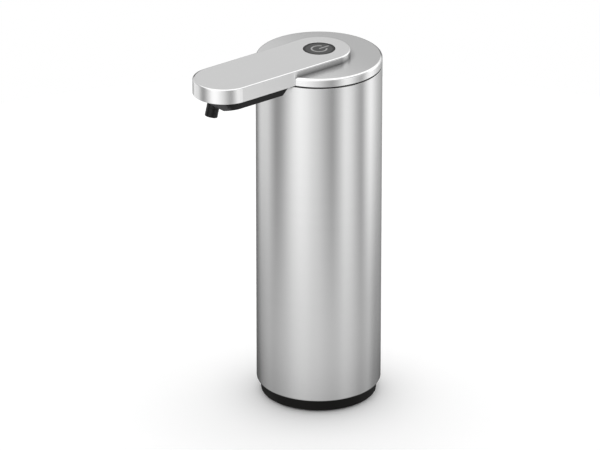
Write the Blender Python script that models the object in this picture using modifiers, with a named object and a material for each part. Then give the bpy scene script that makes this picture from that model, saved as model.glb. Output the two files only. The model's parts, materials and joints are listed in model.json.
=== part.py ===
"""Automatic soap dispenser: a steel cylinder with a lift-out pump head.

The axis of the cylinder is +Z, the spout arm points along -Y, and the origin is
the centre of the flat foot that stands on the shelf. Lengths are in metres.
The head lifts straight out of the soap tank and carries the batteries, the
motor and a gear pump that lifts soap through the suction tube to the nozzle.
"""

import math

import bmesh
import bpy
from mathutils import Matrix, Vector

MM = 0.001

# Overall sizes
BODY_RADIUS = 32.5 * MM
OVERALL_HEIGHT = 192.0 * MM
ARM_HALF_WIDTH = 16.25 * MM
ARM_REACH = 61.5 * MM
ARM_HEIGHT = 8.0 * MM
CAP_STEP = 3.6 * MM
HEAD_GROOVE = 0.5 * MM
BASE_HEIGHT = 6.5 * MM
BASE_INSET = 3.0 * MM
BUTTON_TRAVEL = 0.8 * MM

# Gaps, cuts and facets
SEAT_GAP = 0.3 * MM
RUN_GAP = 0.1 * MM
CUT_OVERRUN = 1.0 * MM
FUSE_DEPTH = 0.4 * MM
WELD = 0.001 * MM
WIDE_STEPS = 48
INNER_STEPS = 36
ARM_STEPS = 16
PIECE_STEPS = 16
SMALL_STEPS = 10
SCREW_STEPS = 8
SHARP_ANGLE = math.radians(35)
FLAT_ANGLE = math.radians(1)

# Sheet steel of the shell, the cap and the arm
SHEET = 0.8 * MM
SHELL_FOOT_ROUND = 1.2 * MM
SHELL_RIM_ROUND = 0.3 * MM
CAP_EDGE_ROUND = 0.8 * MM
ARM_EDGE_ROUND = 0.6 * MM
CAP_LEDGE = 1.2 * MM
ROUND_POINTS = 2

# Soap tank and base
TANK_WALL = 1.8 * MM
TANK_FLOOR = 2.0 * MM
TANK_RIM_DROP = 0.3 * MM
TANK_MOUTH_FLARE = 0.6 * MM
BASE_PLUG = 2.2 * MM
BASE_WALL = 2.0 * MM
BASE_FLOOR = 3.0 * MM
BASE_CHAMFER = 0.4 * MM
FOOT_THICKNESS = 1.2 * MM
FOOT_STAND = 0.6 * MM
FOOT_MARGIN = 2.2 * MM
TANK_BOSS_RADIUS = 3.4 * MM
BASE_SCREW_MARGIN = 11.5 * MM
BASE_SCREW_ANGLES = (30, 150, 270)

# Screws, one size throughout
SCREW_RADIUS = 1.1 * MM
SCREW_HEAD_RADIUS = 2.2 * MM
SCREW_HEAD_HEIGHT = 1.1 * MM
SCREW_BORE_GAP = 0.15 * MM
BOSS_WALL = 1.2 * MM
STUD_ROOF = 1.5 * MM

# Head frame, rim seal and pump case
FRAME_RISE = 0.6 * MM
SEAL_WIDTH = 1.9 * MM
CASE_ROOM = 2.1 * MM
CASE_WALL = 2.0 * MM
CASE_FLOOR = 2.0 * MM
CASE_SCREW_ANGLES = (90, 210, 330)
BOARD_SPACE = 6.9 * MM
INNER_PLATE = 1.5 * MM
POST_RADIUS = 1.8 * MM
POST_ANGLES = (200, 255, 325)

# Batteries, four of the AAA size
CELL_COUNT = 4
CELL_RADIUS = 5.25 * MM
CELL_LENGTH = 44.5 * MM
CELL_NUB_RADIUS = 1.9 * MM
CELL_NUB_HEIGHT = 1.1 * MM
CELL_CRIMP = 0.5 * MM
CELL_SPACING = 0.6 * MM
CONTACT_THICKNESS = 0.3 * MM
CONTACT_RADIUS = 3.0 * MM
BAY_WALL = 1.2 * MM
TAIL_RADIUS = 0.6 * MM
TAIL_MARGIN = 2.0 * MM

# Battery door
DOOR_FLANGE = 1.6 * MM
DOOR_LIP = 1.5 * MM
DOOR_SEAL = 0.8 * MM
DOOR_GRIP_HEIGHT = 3.5 * MM
DOOR_GRIP_THICKNESS = 1.6 * MM
DOOR_GRIP_LENGTH = 18.0 * MM

# Motor and gear train
MOTOR_RADIUS = 8.0 * MM
MOTOR_LENGTH = 25.0 * MM
MOTOR_NOSE_RADIUS = 3.0 * MM
MOTOR_NOSE_HEIGHT = 1.4 * MM
MOTOR_CAP_STEP = 0.5 * MM
MOTOR_CAP_HEIGHT = 3.0 * MM
MOTOR_SHAFT_RADIUS = 1.0 * MM
MOTOR_SHAFT_DEPTH = 4.0 * MM
MOTOR_TAIL_SPREAD = 2.5 * MM
TRAIN_SETBACK = 6.8 * MM
GEAR_MODULE = 0.5 * MM
PINION_TEETH = 12
DRIVE_TEETH = 30
GEAR_THICKNESS = 3.5 * MM
GEAR_WEB_CUT = 1.0 * MM
GEAR_HUB_RADIUS = 3.2 * MM
GEAR_RIM = 1.6 * MM
GEAR_FREE = 0.6 * MM
GEAR_PLATE = 1.6 * MM
BACKLASH = 0.1 * MM
PRESSURE_ANGLE = math.radians(25)
ADDENDUM_SHARE = 1.0
DEDENDUM_SHARE = 1.25
FLANK_POINTS = 2
DRIVE_FLANK_POINTS = 1

# Gear pump
PUMP_MODULE = 0.8 * MM
PUMP_TEETH = 10
PUMP_SHAFT_RADIUS = 1.5 * MM
PUMP_WALL = 1.8 * MM
PUMP_FLOOR = 2.2 * MM
PUMP_COVER = 2.0 * MM
PUMP_BEARING_DEPTH = 1.2 * MM
PORT_RADIUS = 1.2 * MM
PORT_OFFSET = 3.0 * MM
CHAMBER_STEPS = 24

# Suction tube and strainer
TUBE_RADIUS = 3.1 * MM
TUBE_BORE = 2.1 * MM
TUBE_GRIP = 6.0 * MM
STRAINER_WALL = 0.9 * MM
STRAINER_HEIGHT = 8.0 * MM
STRAINER_FLOOR = 1.2 * MM
STRAINER_LIFT = 0.8 * MM
STRAINER_SLOT = 1.3 * MM
STRAINER_CATCH = 3.0 * MM

# Outlet hose and nozzle
HOSE_RADIUS = 2.4 * MM
HOSE_BORE = 1.5 * MM
HOSE_BEND = 7.0 * MM
HOSE_BEND_POINTS = 5
HOSE_SWAY_POINTS = 5
SPIGOT_RADIUS = 1.3 * MM
SPIGOT_LENGTH = 4.0 * MM
SPIGOT_BORE = 0.8 * MM
NOZZLE_FORWARD = 5.7 * MM
NOZZLE_TILT = math.radians(15)
NOZZLE_RADIUS = 3.15 * MM
NOZZLE_LENGTH = 11.4 * MM
NOZZLE_BORE = 1.6 * MM
NOZZLE_TIP_ROUND = 0.5 * MM
NOZZLE_COLLAR_RADIUS = 4.0 * MM
NOZZLE_COLLAR_DROP = 1.0 * MM
NOZZLE_COLLAR_HEIGHT = 1.2 * MM
NOZZLE_HEAD_RADIUS = 3.0 * MM
VALVE_RADIUS = 2.1 * MM
VALVE_LENGTH = 3.4 * MM
VALVE_SLIT = 0.5 * MM

# Tray under the arm
TRAY_DEPTH = 4.0 * MM
TRAY_MARGIN = 0.65 * MM
TRAY_DRAFT = 1.0 * MM
TRAY_NOSE_DRAFT = 0.4 * MM
TRAY_REAR_DRAFT = 2.5 * MM
TRAY_CORNER = 0.6 * MM
CHIN_FORWARD = 9.5 * MM
TRAY_CHIN_SLOPE = math.radians(45)
TRAY_FLOOR = 1.5 * MM
TRAY_WALL = 1.8 * MM
TRAY_RIM = 1.6 * MM
APRON_THICKNESS = 1.2 * MM
POCKET_CORNER = 4.0 * MM
ARM_SCREW_X = 9.0 * MM
TRAY_SCREW_Y = 43.5 * MM
ARM_SCREW_Y = 14.0 * MM

# Hand sensor in the tray
WINDOW_SHARE = 1 / 3
WINDOW_AHEAD = 2.6 * MM
WINDOW_HALF_LENGTH = 7.0 * MM
WINDOW_HALF_WIDTH = 3.0 * MM
WINDOW_FLANGE = 1.0 * MM
WINDOW_THICKNESS = 0.8 * MM
EYE_RADIUS = 1.5 * MM
EYE_HEIGHT = 1.6 * MM
EYE_SPREAD = 4.0 * MM
EYE_DOME_SHARES = ((1.0, 0.5), (0.7, 0.15))
SENSOR_BOARD_LENGTH = 11.0 * MM
SENSOR_BOARD_THICKNESS = 0.7 * MM
CABLE_RADIUS = 0.7 * MM
CABLE_X = 5.2 * MM
CABLE_REAR_Y = 9.0 * MM
CABLE_BEND = 2.0 * MM
CABLE_BEND_POINTS = 4

# Button, its spring and the boards
BUTTON_RADIUS = 8.1 * MM
BUTTON_GAP = 0.2 * MM
BUTTON_SINK = 0.15 * MM
BUTTON_EDGE = 0.3 * MM
BUTTON_FLANGE = 0.8 * MM
BUTTON_FLANGE_HEIGHT = 0.9 * MM
BUTTON_STEM_RADIUS = 2.2 * MM
SPRING_RADIUS = 5.0 * MM
SPRING_WIRE = 0.2 * MM
SPRING_TURNS = 2
SPRING_TURN_POINTS = 10
SWITCH_SIDE = 6.0 * MM
SWITCH_BODY_HEIGHT = 2.0 * MM
SWITCH_PLUNGER_RADIUS = 1.7 * MM
BOARD_THICKNESS = 1.2 * MM
BOARD_MARGIN = 0.6 * MM
CHIP_SIDE = 5.0 * MM
CHIP_HEIGHT = 1.0 * MM

# Heights worked out from the sizes above
ARM_BOTTOM = OVERALL_HEIGHT - ARM_HEIGHT
ARM_CEILING = OVERALL_HEIGHT - SHEET
CAP_TOP = OVERALL_HEIGHT - CAP_STEP
CAP_CEILING = CAP_TOP - SHEET
SHELL_TOP = ARM_BOTTOM - HEAD_GROOVE
TANK_TOP = SHELL_TOP - TANK_RIM_DROP
FRAME_TOP = CAP_CEILING - SEAT_GAP
FRAME_BOTTOM = ARM_BOTTOM + FRAME_RISE
CASE_TOP = FRAME_BOTTOM - SEAT_GAP
INNER_PLATE_TOP = CASE_TOP - BOARD_SPACE
INNER_PLATE_BOTTOM = INNER_PLATE_TOP - INNER_PLATE
CELL_TOP = INNER_PLATE_BOTTOM - CONTACT_THICKNESS - 2 * SEAT_GAP
CELL_BOTTOM = CELL_TOP - CELL_LENGTH
DOOR_TOP = CELL_BOTTOM - CONTACT_THICKNESS - 2 * SEAT_GAP
CASE_FLOOR_TOP = DOOR_TOP
CASE_BOTTOM = CASE_FLOOR_TOP - CASE_FLOOR
DOOR_SEAL_BOTTOM = CASE_BOTTOM - SEAT_GAP - DOOR_SEAL
DOOR_FLANGE_TOP = DOOR_SEAL_BOTTOM - SEAT_GAP
DOOR_BOTTOM = DOOR_FLANGE_TOP - DOOR_FLANGE
MOTOR_TOP = INNER_PLATE_BOTTOM - SEAT_GAP
MOTOR_BOTTOM = MOTOR_TOP - MOTOR_LENGTH
GEAR_PLATE_TOP = MOTOR_BOTTOM - SEAT_GAP
GEAR_PLATE_BOTTOM = GEAR_PLATE_TOP - GEAR_PLATE
GEAR_TOP = GEAR_PLATE_BOTTOM - GEAR_FREE
GEAR_BOTTOM = GEAR_TOP - GEAR_THICKNESS
PUMP_COVER_TOP = GEAR_BOTTOM - GEAR_FREE
PUMP_COVER_BOTTOM = PUMP_COVER_TOP - PUMP_COVER
PUMP_TOP = PUMP_COVER_BOTTOM - SEAT_GAP
PUMP_BOTTOM = CASE_FLOOR_TOP + SEAT_GAP
PUMP_CHAMBER_FLOOR = PUMP_BOTTOM + PUMP_FLOOR
BASE_FLOOR_TOP = FOOT_THICKNESS + SEAT_GAP + BASE_FLOOR
BASE_SCREW_SEAT = FOOT_THICKNESS + 2 * SEAT_GAP + SCREW_HEAD_HEIGHT
BASE_PLUG_TOP = BASE_HEIGHT + SEAT_GAP + BASE_PLUG
TANK_BOTTOM = BASE_PLUG_TOP + SEAT_GAP
TANK_FLOOR_TOP = TANK_BOTTOM + TANK_FLOOR
HOSE_LEVEL = ARM_CEILING - SEAT_GAP - HOSE_RADIUS
CHANNEL_FLOOR = HOSE_LEVEL - HOSE_RADIUS - SEAT_GAP
TRAY_BOTTOM = ARM_BOTTOM - TRAY_DEPTH
TRAY_SHOULDER = ARM_BOTTOM - SEAT_GAP
TRAY_FLOOR_TOP = TRAY_BOTTOM + TRAY_FLOOR
TRAY_BOSS_TOP = TRAY_BOTTOM + SCREW_HEAD_HEIGHT + 2 * SEAT_GAP + TRAY_FLOOR
TRAY_SCREW_SEAT = TRAY_BOTTOM + SEAT_GAP + SCREW_HEAD_HEIGHT
ARM_SCREW_SEAT = FRAME_BOTTOM + SEAT_GAP + SCREW_HEAD_HEIGHT
CASE_SCREW_SEAT = FRAME_TOP - SEAT_GAP - SCREW_HEAD_HEIGHT
STUD_BORE_TOP = ARM_CEILING - STUD_ROOF
BOARD_BOTTOM = INNER_PLATE_TOP + SEAT_GAP
BOARD_TOP = BOARD_BOTTOM + BOARD_THICKNESS
TAIL_TOP = BOARD_TOP + SEAT_GAP
SWITCH_BOTTOM = BOARD_TOP + SEAT_GAP
BUTTON_TOP = OVERALL_HEIGHT - BUTTON_SINK
BUTTON_FLANGE_TOP = ARM_CEILING - SEAT_GAP
BUTTON_FLANGE_BOTTOM = BUTTON_FLANGE_TOP - BUTTON_FLANGE_HEIGHT
SWITCH_TOP = SWITCH_BOTTOM + SWITCH_BODY_HEIGHT + BUTTON_TRAVEL
STEM_BOTTOM = SWITCH_TOP + BUTTON_TRAVEL + SEAT_GAP

# Radii and places worked out from the sizes above
SHELL_BORE = BODY_RADIUS - SHEET
TANK_RADIUS = SHELL_BORE - SEAT_GAP
TANK_BORE = TANK_RADIUS - TANK_WALL
BASE_RADIUS = BODY_RADIUS - BASE_INSET
BASE_PLUG_RADIUS = BODY_RADIUS - SHELL_FOOT_ROUND - SEAT_GAP
FOOT_RADIUS = BASE_RADIUS - FOOT_MARGIN
BASE_SCREW_CIRCLE = BASE_RADIUS - BASE_SCREW_MARGIN
FRAME_RADIUS = SHELL_BORE - SEAT_GAP
CASE_RADIUS = TANK_BORE - CASE_ROOM
CASE_BORE = CASE_RADIUS - CASE_WALL
BAY_RADIUS = CASE_BORE - SEAT_GAP
CELL_CIRCLE = CASE_BORE - 2 * SEAT_GAP - CELL_RADIUS
CELL_STEP = 2 * math.asin((CELL_RADIUS + CELL_SPACING / 2) / CELL_CIRCLE)
SCREW_BORE = SCREW_RADIUS + SCREW_BORE_GAP
SCREW_SINK = SCREW_HEAD_RADIUS + SEAT_GAP
BOSS_RADIUS = SCREW_BORE + BOSS_WALL
CASE_SCREW_CIRCLE = CASE_BORE - BOSS_RADIUS + FUSE_DEPTH
DRIVE_CENTRES = GEAR_MODULE * (PINION_TEETH + DRIVE_TEETH) / 2
PUMP_CENTRES = PUMP_MODULE * PUMP_TEETH
MOTOR_X = -(DRIVE_CENTRES + PUMP_CENTRES) / 2
DRIVE_X = MOTOR_X + DRIVE_CENTRES
IDLER_X = DRIVE_X + PUMP_CENTRES
TRAIN_Y = -TRAIN_SETBACK
PORT_X = (DRIVE_X + IDLER_X) / 2
INLET_Y = TRAIN_Y + PORT_OFFSET
DRIVE_TIP = GEAR_MODULE * (DRIVE_TEETH / 2 + ADDENDUM_SHARE)
PUMP_TIP = PUMP_MODULE * (PUMP_TEETH / 2 + ADDENDUM_SHARE)
CHAMBER_RADIUS = PUMP_TIP + RUN_GAP
PUMP_OUTLINE = CHAMBER_RADIUS + PUMP_WALL
OUTLET_Y = TRAIN_Y - DRIVE_TIP - GEAR_FREE - HOSE_RADIUS
BAY_WALL_FRONT = TRAIN_Y + MOTOR_RADIUS + 2 * SEAT_GAP
BAY_WALL_REAR = BAY_WALL_FRONT + BAY_WALL
TRAY_TOP_RADIUS = ARM_HALF_WIDTH - TRAY_MARGIN
TRAY_RIM_RADIUS = ARM_HALF_WIDTH - SHEET - SEAT_GAP
CAP_SLOT_RADIUS = ARM_HALF_WIDTH - SHEET - CAP_LEDGE
TRAY_REAR = BODY_RADIUS + SEAT_GAP
TRAY_CHIN = ARM_REACH + CHIN_FORWARD
NOZZLE_PLACE = ARM_REACH + NOZZLE_FORWARD
WINDOW_PLACE = TRAY_SCREW_Y + (NOZZLE_PLACE - TRAY_SCREW_Y) * WINDOW_SHARE + WINDOW_AHEAD
POCKET_HALF_WIDTH = TRAY_RIM_RADIUS - TRAY_WALL
POCKET_REAR = TRAY_REAR + TRAY_REAR_DRAFT + TRAY_WALL
POCKET_FRONT = TRAY_CHIN - TRAY_FLOOR
WINDOW_FLANGE_BOTTOM = TRAY_FLOOR_TOP + SEAT_GAP
WINDOW_TOP = WINDOW_FLANGE_BOTTOM + WINDOW_THICKNESS
EYE_BOTTOM = WINDOW_TOP + SEAT_GAP
SENSOR_BOARD_BOTTOM = EYE_BOTTOM + EYE_HEIGHT + SEAT_GAP
SENSOR_BOARD_TOP = SENSOR_BOARD_BOTTOM + SENSOR_BOARD_THICKNESS
NOZZLE_HEAD_TOP = ARM_CEILING - SEAT_GAP - NOZZLE_HEAD_RADIUS * math.sin(NOZZLE_TILT)
NOZZLE_HEAD_LENGTH = (NOZZLE_HEAD_TOP - ARM_BOTTOM) / math.cos(NOZZLE_TILT)
NOZZLE_HEAD_Y = -NOZZLE_PLACE + (HOSE_LEVEL - ARM_BOTTOM) * math.tan(NOZZLE_TILT)
HOSE_END_Y = NOZZLE_HEAD_Y + NOZZLE_HEAD_RADIUS + SEAT_GAP
STRAINER_BOTTOM = TANK_FLOOR_TOP + STRAINER_LIFT
BOARD_RADIUS = -OUTLET_Y - HOSE_RADIUS - BOARD_MARGIN
TAIL_CIRCLE = BOARD_RADIUS - TAIL_MARGIN
TAIL_HOLE = TAIL_RADIUS + SEAT_GAP
POST_CIRCLE = CASE_BORE - FUSE_DEPTH
PILLAR_X = DRIVE_X + DRIVE_TIP + GEAR_FREE + POST_RADIUS

# Colour, roughness and metallic value of each finish
FINISHES = {
    "brushed_steel": ((0.62, 0.62, 0.62), 0.32, 1.0),
    "black_plastic": ((0.012, 0.012, 0.013), 0.42, 0.0),
    "button_plastic": ((0.075, 0.077, 0.08), 0.45, 0.0),
    "tank_plastic": ((0.75, 0.77, 0.78), 0.3, 0.0),
    "grey_plastic": ((0.35, 0.36, 0.37), 0.5, 0.0),
    "gear_plastic": ((0.85, 0.84, 0.8), 0.4, 0.0),
    "window_plastic": ((0.02, 0.004, 0.006), 0.12, 0.0),
    "black_rubber": ((0.02, 0.02, 0.02), 0.8, 0.0),
    "clear_silicone": ((0.8, 0.8, 0.78), 0.35, 0.0),
    "plated_steel": ((0.55, 0.56, 0.58), 0.3, 1.0),
    "nickel": ((0.7, 0.68, 0.62), 0.28, 1.0),
    "board_green": ((0.02, 0.16, 0.06), 0.5, 0.0),
    "cell_jacket": ((0.05, 0.09, 0.2), 0.35, 0.0),
}


def clear_scene():
    """Empty the scene that the script runs in."""
    for item in list(bpy.data.objects):
        bpy.data.objects.remove(item, do_unlink=True)


def new_collection(name):
    """Make a collection under the scene's own."""
    collection = bpy.data.collections.new(name)
    bpy.context.scene.collection.children.link(collection)
    return collection


def finish_material(name, finish):
    """Make the material of one sub-part."""
    colour, roughness, metallic = FINISHES[finish]
    material = bpy.data.materials.new(name)
    material.use_nodes = True
    shader = material.node_tree.nodes["Principled BSDF"]
    shader.inputs["Base Color"].default_value = (*colour, 1)
    shader.inputs["Roughness"].default_value = roughness
    shader.inputs["Metallic"].default_value = metallic
    material.diffuse_color = (*colour, 1)
    return material


def keep(item, finish):
    """File a finished sub-part with its material."""
    for collection in list(item.users_collection):
        collection.objects.unlink(item)
    parts.objects.link(item)
    item.data.materials.clear()
    item.data.materials.append(finish_material(f"{item.name}_{finish}", finish))
    if item.modifiers:
        merge = item.modifiers.new("Merge flat faces", "DECIMATE")
        merge.decimate_type = "DISSOLVE"
        merge.angle_limit = FLAT_ANGLE
    return item


def file_cutter(item):
    """File a helper solid that only shapes others."""
    for collection in list(item.users_collection):
        collection.objects.unlink(item)
    cutters.objects.link(item)
    item.hide_render = True
    item.display_type = "WIRE"


def combine(target, other, operation):
    """Cut, join or intersect target with another solid."""
    file_cutter(other)
    modifier = target.modifiers.new(other.name, "BOOLEAN")
    modifier.operation = operation
    modifier.solver = "EXACT"
    modifier.object = other


def cut(target, other):
    """Take the other solid out of target."""
    combine(target, other, "DIFFERENCE")


def join(target, other):
    """Fuse the other solid onto target."""
    combine(target, other, "UNION")


def arc(x, y, radius, start, end, steps):
    """Points of an arc about (x, y), from start to end degrees."""
    angles = [math.radians(start + (end - start) * i / steps) for i in range(steps + 1)]
    return [(x + radius * math.cos(a), y + radius * math.sin(a)) for a in angles]


def circle(x, y, radius, steps=PIECE_STEPS):
    """Outline of a disc or a round hole."""
    return arc(x, y, radius, 0, 360, steps)[:-1]


def stadium(radius):
    """Outline along the arm: one round end on the axis, the other at the arm's reach."""
    rear = arc(0, 0, radius, 0, 180, ARM_STEPS)
    front = arc(0, -ARM_REACH, radius, 180, 360, ARM_STEPS)
    return rear + front


def tray_outline(radius):
    """Outline of the tray: square rear end with round corners, round front end."""
    corner_y = -TRAY_REAR - TRAY_CORNER
    right = arc(radius - TRAY_CORNER, corner_y, TRAY_CORNER, 0, 90, ROUND_POINTS)
    left = arc(TRAY_CORNER - radius, corner_y, TRAY_CORNER, 90, 180, ROUND_POINTS)
    return right + left + arc(0, -ARM_REACH, radius, 180, 360, ARM_STEPS)


def slot(start, end, radius, steps=SMALL_STEPS):
    """Outline of a strip with round ends between two places."""
    heading = math.degrees(math.atan2(end[1] - start[1], end[0] - start[0]))
    far = arc(end[0], end[1], radius, heading - 90, heading + 90, steps // 2)
    near = arc(start[0], start[1], radius, heading + 90, heading + 270, steps // 2)
    return far + near


def box_outline(x_low, x_high, y_low, y_high, corner=0.0):
    """Outline of a rectangle, with round corners where a corner radius is given."""
    if corner == 0:
        return [(x_low, y_low), (x_high, y_low), (x_high, y_high), (x_low, y_high)]
    places = (
        (x_high - corner, y_low + corner, -90),
        (x_high - corner, y_high - corner, 0),
        (x_low + corner, y_high - corner, 90),
        (x_low + corner, y_low + corner, 180),
    )
    outline = []
    for x, y, start in places:
        outline += arc(x, y, corner, start, start + 90, ROUND_POINTS)
    return outline


def rear_segment(radius, chord_y):
    """Outline of the part of a disc behind a chord, on the +Y side."""
    start = math.degrees(math.asin(chord_y / radius))
    return arc(0, 0, radius, start, 180 - start, PIECE_STEPS)


def front_segment(radius, chord_y):
    """Outline of the part of a disc in front of a chord, on the -Y side."""
    start = math.degrees(math.asin(chord_y / radius))
    return arc(0, 0, radius, 180 - start, 360 + start, PIECE_STEPS)


def mesh_from_curve(item):
    """Turn a curve object into a welded mesh object at the same place."""
    bpy.context.scene.collection.objects.link(item)
    bpy.context.view_layer.update()
    graph = bpy.context.evaluated_depsgraph_get()
    mesh = bpy.data.meshes.new_from_object(item.evaluated_get(graph))
    place = item.matrix_world.copy()
    name = item.name
    curve = item.data
    bpy.data.objects.remove(item)
    bpy.data.curves.remove(curve)
    shape = bmesh.new()
    shape.from_mesh(mesh)
    bmesh.ops.remove_doubles(shape, verts=shape.verts, dist=WELD)
    shape.to_mesh(mesh)
    shape.free()
    solid = bpy.data.objects.new(name, mesh)
    solid.matrix_world = place
    bpy.context.scene.collection.objects.link(solid)
    return solid


def plate(name, outlines, low, high):
    """Flat piece between two heights; outlines inside the first are its holes."""
    curve = bpy.data.curves.new(name, "CURVE")
    curve.dimensions = "2D"
    curve.fill_mode = "BOTH"
    curve.extrude = (high - low) / 2
    for outline in outlines:
        spline = curve.splines.new("POLY")
        spline.points.add(len(outline) - 1)
        for point, (x, y) in zip(spline.points, outline):
            point.co = (x, y, 0, 1)
        spline.use_cyclic_u = True
    item = bpy.data.objects.new(name, curve)
    item.location.z = (low + high) / 2
    return mesh_from_curve(item)


def round_edges(item, width, on_top):
    """Round the outline edges of a plate's top or bottom face."""
    shape = bmesh.new()
    shape.from_mesh(item.data)
    bmesh.ops.dissolve_limit(
        shape, angle_limit=FLAT_ANGLE, verts=shape.verts, edges=shape.edges
    )
    weights = shape.edges.layers.float.new("bevel_weight_edge")
    for edge in shape.edges:
        heights = [corner.co.z if on_top else -corner.co.z for corner in edge.verts]
        edge[weights] = 1 if min(heights) > 0 else 0
    shape.to_mesh(item.data)
    shape.free()
    bevel = item.modifiers.new("Edge round", "BEVEL")
    bevel.limit_method = "WEIGHT"
    bevel.width = width
    bevel.segments = ROUND_POINTS


def taper_bottom(item, x_shares, rear, rear_draft, front, front_draft):
    """Draw in the bottom face of a plate that lies along -Y."""
    length = front - rear
    short = length - rear_draft - front_draft
    for corner in item.data.vertices:
        if corner.co.z < 0:
            along = (-corner.co.y - rear) / length
            corner.co.x *= x_shares
            corner.co.y = -(rear + rear_draft + along * short)


def tube(name, points, radius, resolution=3):
    """Round bar along a route of points."""
    curve = bpy.data.curves.new(name, "CURVE")
    curve.dimensions = "3D"
    curve.fill_mode = "FULL"
    curve.bevel_depth = radius
    curve.bevel_resolution = resolution
    curve.use_fill_caps = True
    spline = curve.splines.new("POLY")
    spline.points.add(len(points) - 1)
    for point, place in zip(spline.points, points):
        point.co = (*place, 1)
    return mesh_from_curve(bpy.data.objects.new(name, curve))


def turned(name, profile, x=0.0, y=0.0, steps=PIECE_STEPS):
    """Revolve (radius, height) points, listed down the outer side, about Z."""
    points = [(radius, 0, height) for radius, height in profile]
    edges = [(i, i + 1) for i in range(len(points) - 1)]
    if min(radius for radius, height in profile) > 0:
        edges.append((len(points) - 1, 0))
    mesh = bpy.data.meshes.new(name)
    mesh.from_pydata(points, edges, [])
    item = bpy.data.objects.new(name, mesh)
    item.location = (x, y, 0)
    bpy.context.scene.collection.objects.link(item)
    screw = item.modifiers.new("Turn", "SCREW")
    screw.steps = steps
    screw.render_steps = steps
    screw.use_merge_vertices = True
    screw.merge_threshold = WELD
    return item


def rod(name, x, y, radius, low, high, steps=PIECE_STEPS):
    """Upright cylinder between two heights."""
    shape = bmesh.new()
    bmesh.ops.create_cone(
        shape, cap_ends=True, segments=steps, radius1=radius, radius2=radius, depth=high - low
    )
    mesh = bpy.data.meshes.new(name)
    shape.to_mesh(mesh)
    shape.free()
    item = bpy.data.objects.new(name, mesh)
    item.location = (x, y, (low + high) / 2)
    bpy.context.scene.collection.objects.link(item)
    return item


def block(name, low, high):
    """Box between two opposite corners."""
    shape = bmesh.new()
    bmesh.ops.create_cube(shape, size=1)
    spans = [top - bottom for bottom, top in zip(low, high)]
    bmesh.ops.scale(shape, vec=Vector(spans), verts=shape.verts)
    mesh = bpy.data.meshes.new(name)
    shape.to_mesh(mesh)
    shape.free()
    item = bpy.data.objects.new(name, mesh)
    item.location = [(bottom + top) / 2 for bottom, top in zip(low, high)]
    bpy.context.scene.collection.objects.link(item)
    return item


def drill(target, label, x, y, radius, low, high, steps=SMALL_STEPS):
    """Cut an upright round hole between two heights."""
    cut(target, rod(f"{target.name}_{label}", x, y, radius, low, high, steps))


def on_circle(radius, degrees):
    """Place at an angle on a circle about the axis, counted from +X."""
    return radius * math.cos(math.radians(degrees)), radius * math.sin(math.radians(degrees))


def quarter_round(radius, corner, top):
    """Profile points that round an outer top corner of a turned piece."""
    angles = [math.pi / 2 * (1 - i / ROUND_POINTS) for i in range(ROUND_POINTS + 1)]
    centre = (radius - corner, top - corner)
    return [
        (centre[0] + corner * math.cos(a), centre[1] + corner * math.sin(a)) for a in angles
    ]


def tilt(item, angle, pivot):
    """Lean an item about the X direction through a pivot."""
    turn = Matrix.Translation(pivot) @ Matrix.Rotation(angle, 4, "X")
    item.matrix_world = turn @ Matrix.Translation(-pivot) @ Matrix.Translation(item.location)
    return item


def lean(item):
    """Lean an item along with the nozzle."""
    return tilt(item, -NOZZLE_TILT, Vector((0, -NOZZLE_PLACE, ARM_BOTTOM)))


def lying_rod(name, z, radius, y_low, y_high, x=0.0):
    """Cylinder along Y between two places."""
    half = (y_high - y_low) / 2
    item = rod(name, 0, 0, radius, -half, half, SMALL_STEPS)
    item.rotation_euler.x = math.pi / 2
    item.location = (x, (y_low + y_high) / 2, z)
    return item


def involute(angle):
    """Involute function of a pressure angle."""
    return math.tan(angle) - angle


def gear_outline(teeth, module, turn=0.0, points=FLANK_POINTS):
    """Outline of a spur gear about the origin, with one tooth at the turn angle."""
    pitch = teeth * module / 2
    base = pitch * math.cos(PRESSURE_ANGLE)
    tip = pitch + module * ADDENDUM_SHARE
    root = pitch - module * DEDENDUM_SHARE
    start = max(base, root)
    radii = [start + (tip - start) * i / points for i in range(points + 1)]
    half_tooth = math.pi / (2 * teeth) - BACKLASH / (4 * pitch) + involute(PRESSURE_ANGLE)
    spread = [half_tooth - involute(math.acos(min(1, base / radius))) for radius in radii]
    flank = list(zip(radii, spread))
    if root < base:
        flank.insert(0, (root, spread[0]))
    outline = []
    for tooth in range(teeth):
        centre = turn + 2 * math.pi * tooth / teeth
        for radius, angle in flank:
            outline.append((radius * math.cos(centre - angle), radius * math.sin(centre - angle)))
        for radius, angle in reversed(flank):
            outline.append((radius * math.cos(centre + angle), radius * math.sin(centre + angle)))
    return outline


def screw_piece(name, x, y, seat, tip):
    """Pan-head screw whose head bears at the seat height and points at the tip height."""
    way = 1 if tip > seat else -1
    head = seat - way * SCREW_HEAD_HEIGHT
    dome = head + way * SCREW_HEAD_HEIGHT / 2
    profile = [
        (0, tip),
        (SCREW_RADIUS, tip - way * SCREW_RADIUS / 2),
        (SCREW_RADIUS, seat),
        (SCREW_HEAD_RADIUS, seat),
        (SCREW_HEAD_RADIUS, dome),
        (SCREW_HEAD_RADIUS - SCREW_HEAD_HEIGHT / 2, head),
        (0, head),
    ]
    if way < 0:
        profile.reverse()
    keep(turned(name, profile, x, y, SCREW_STEPS), "plated_steel")


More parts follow.
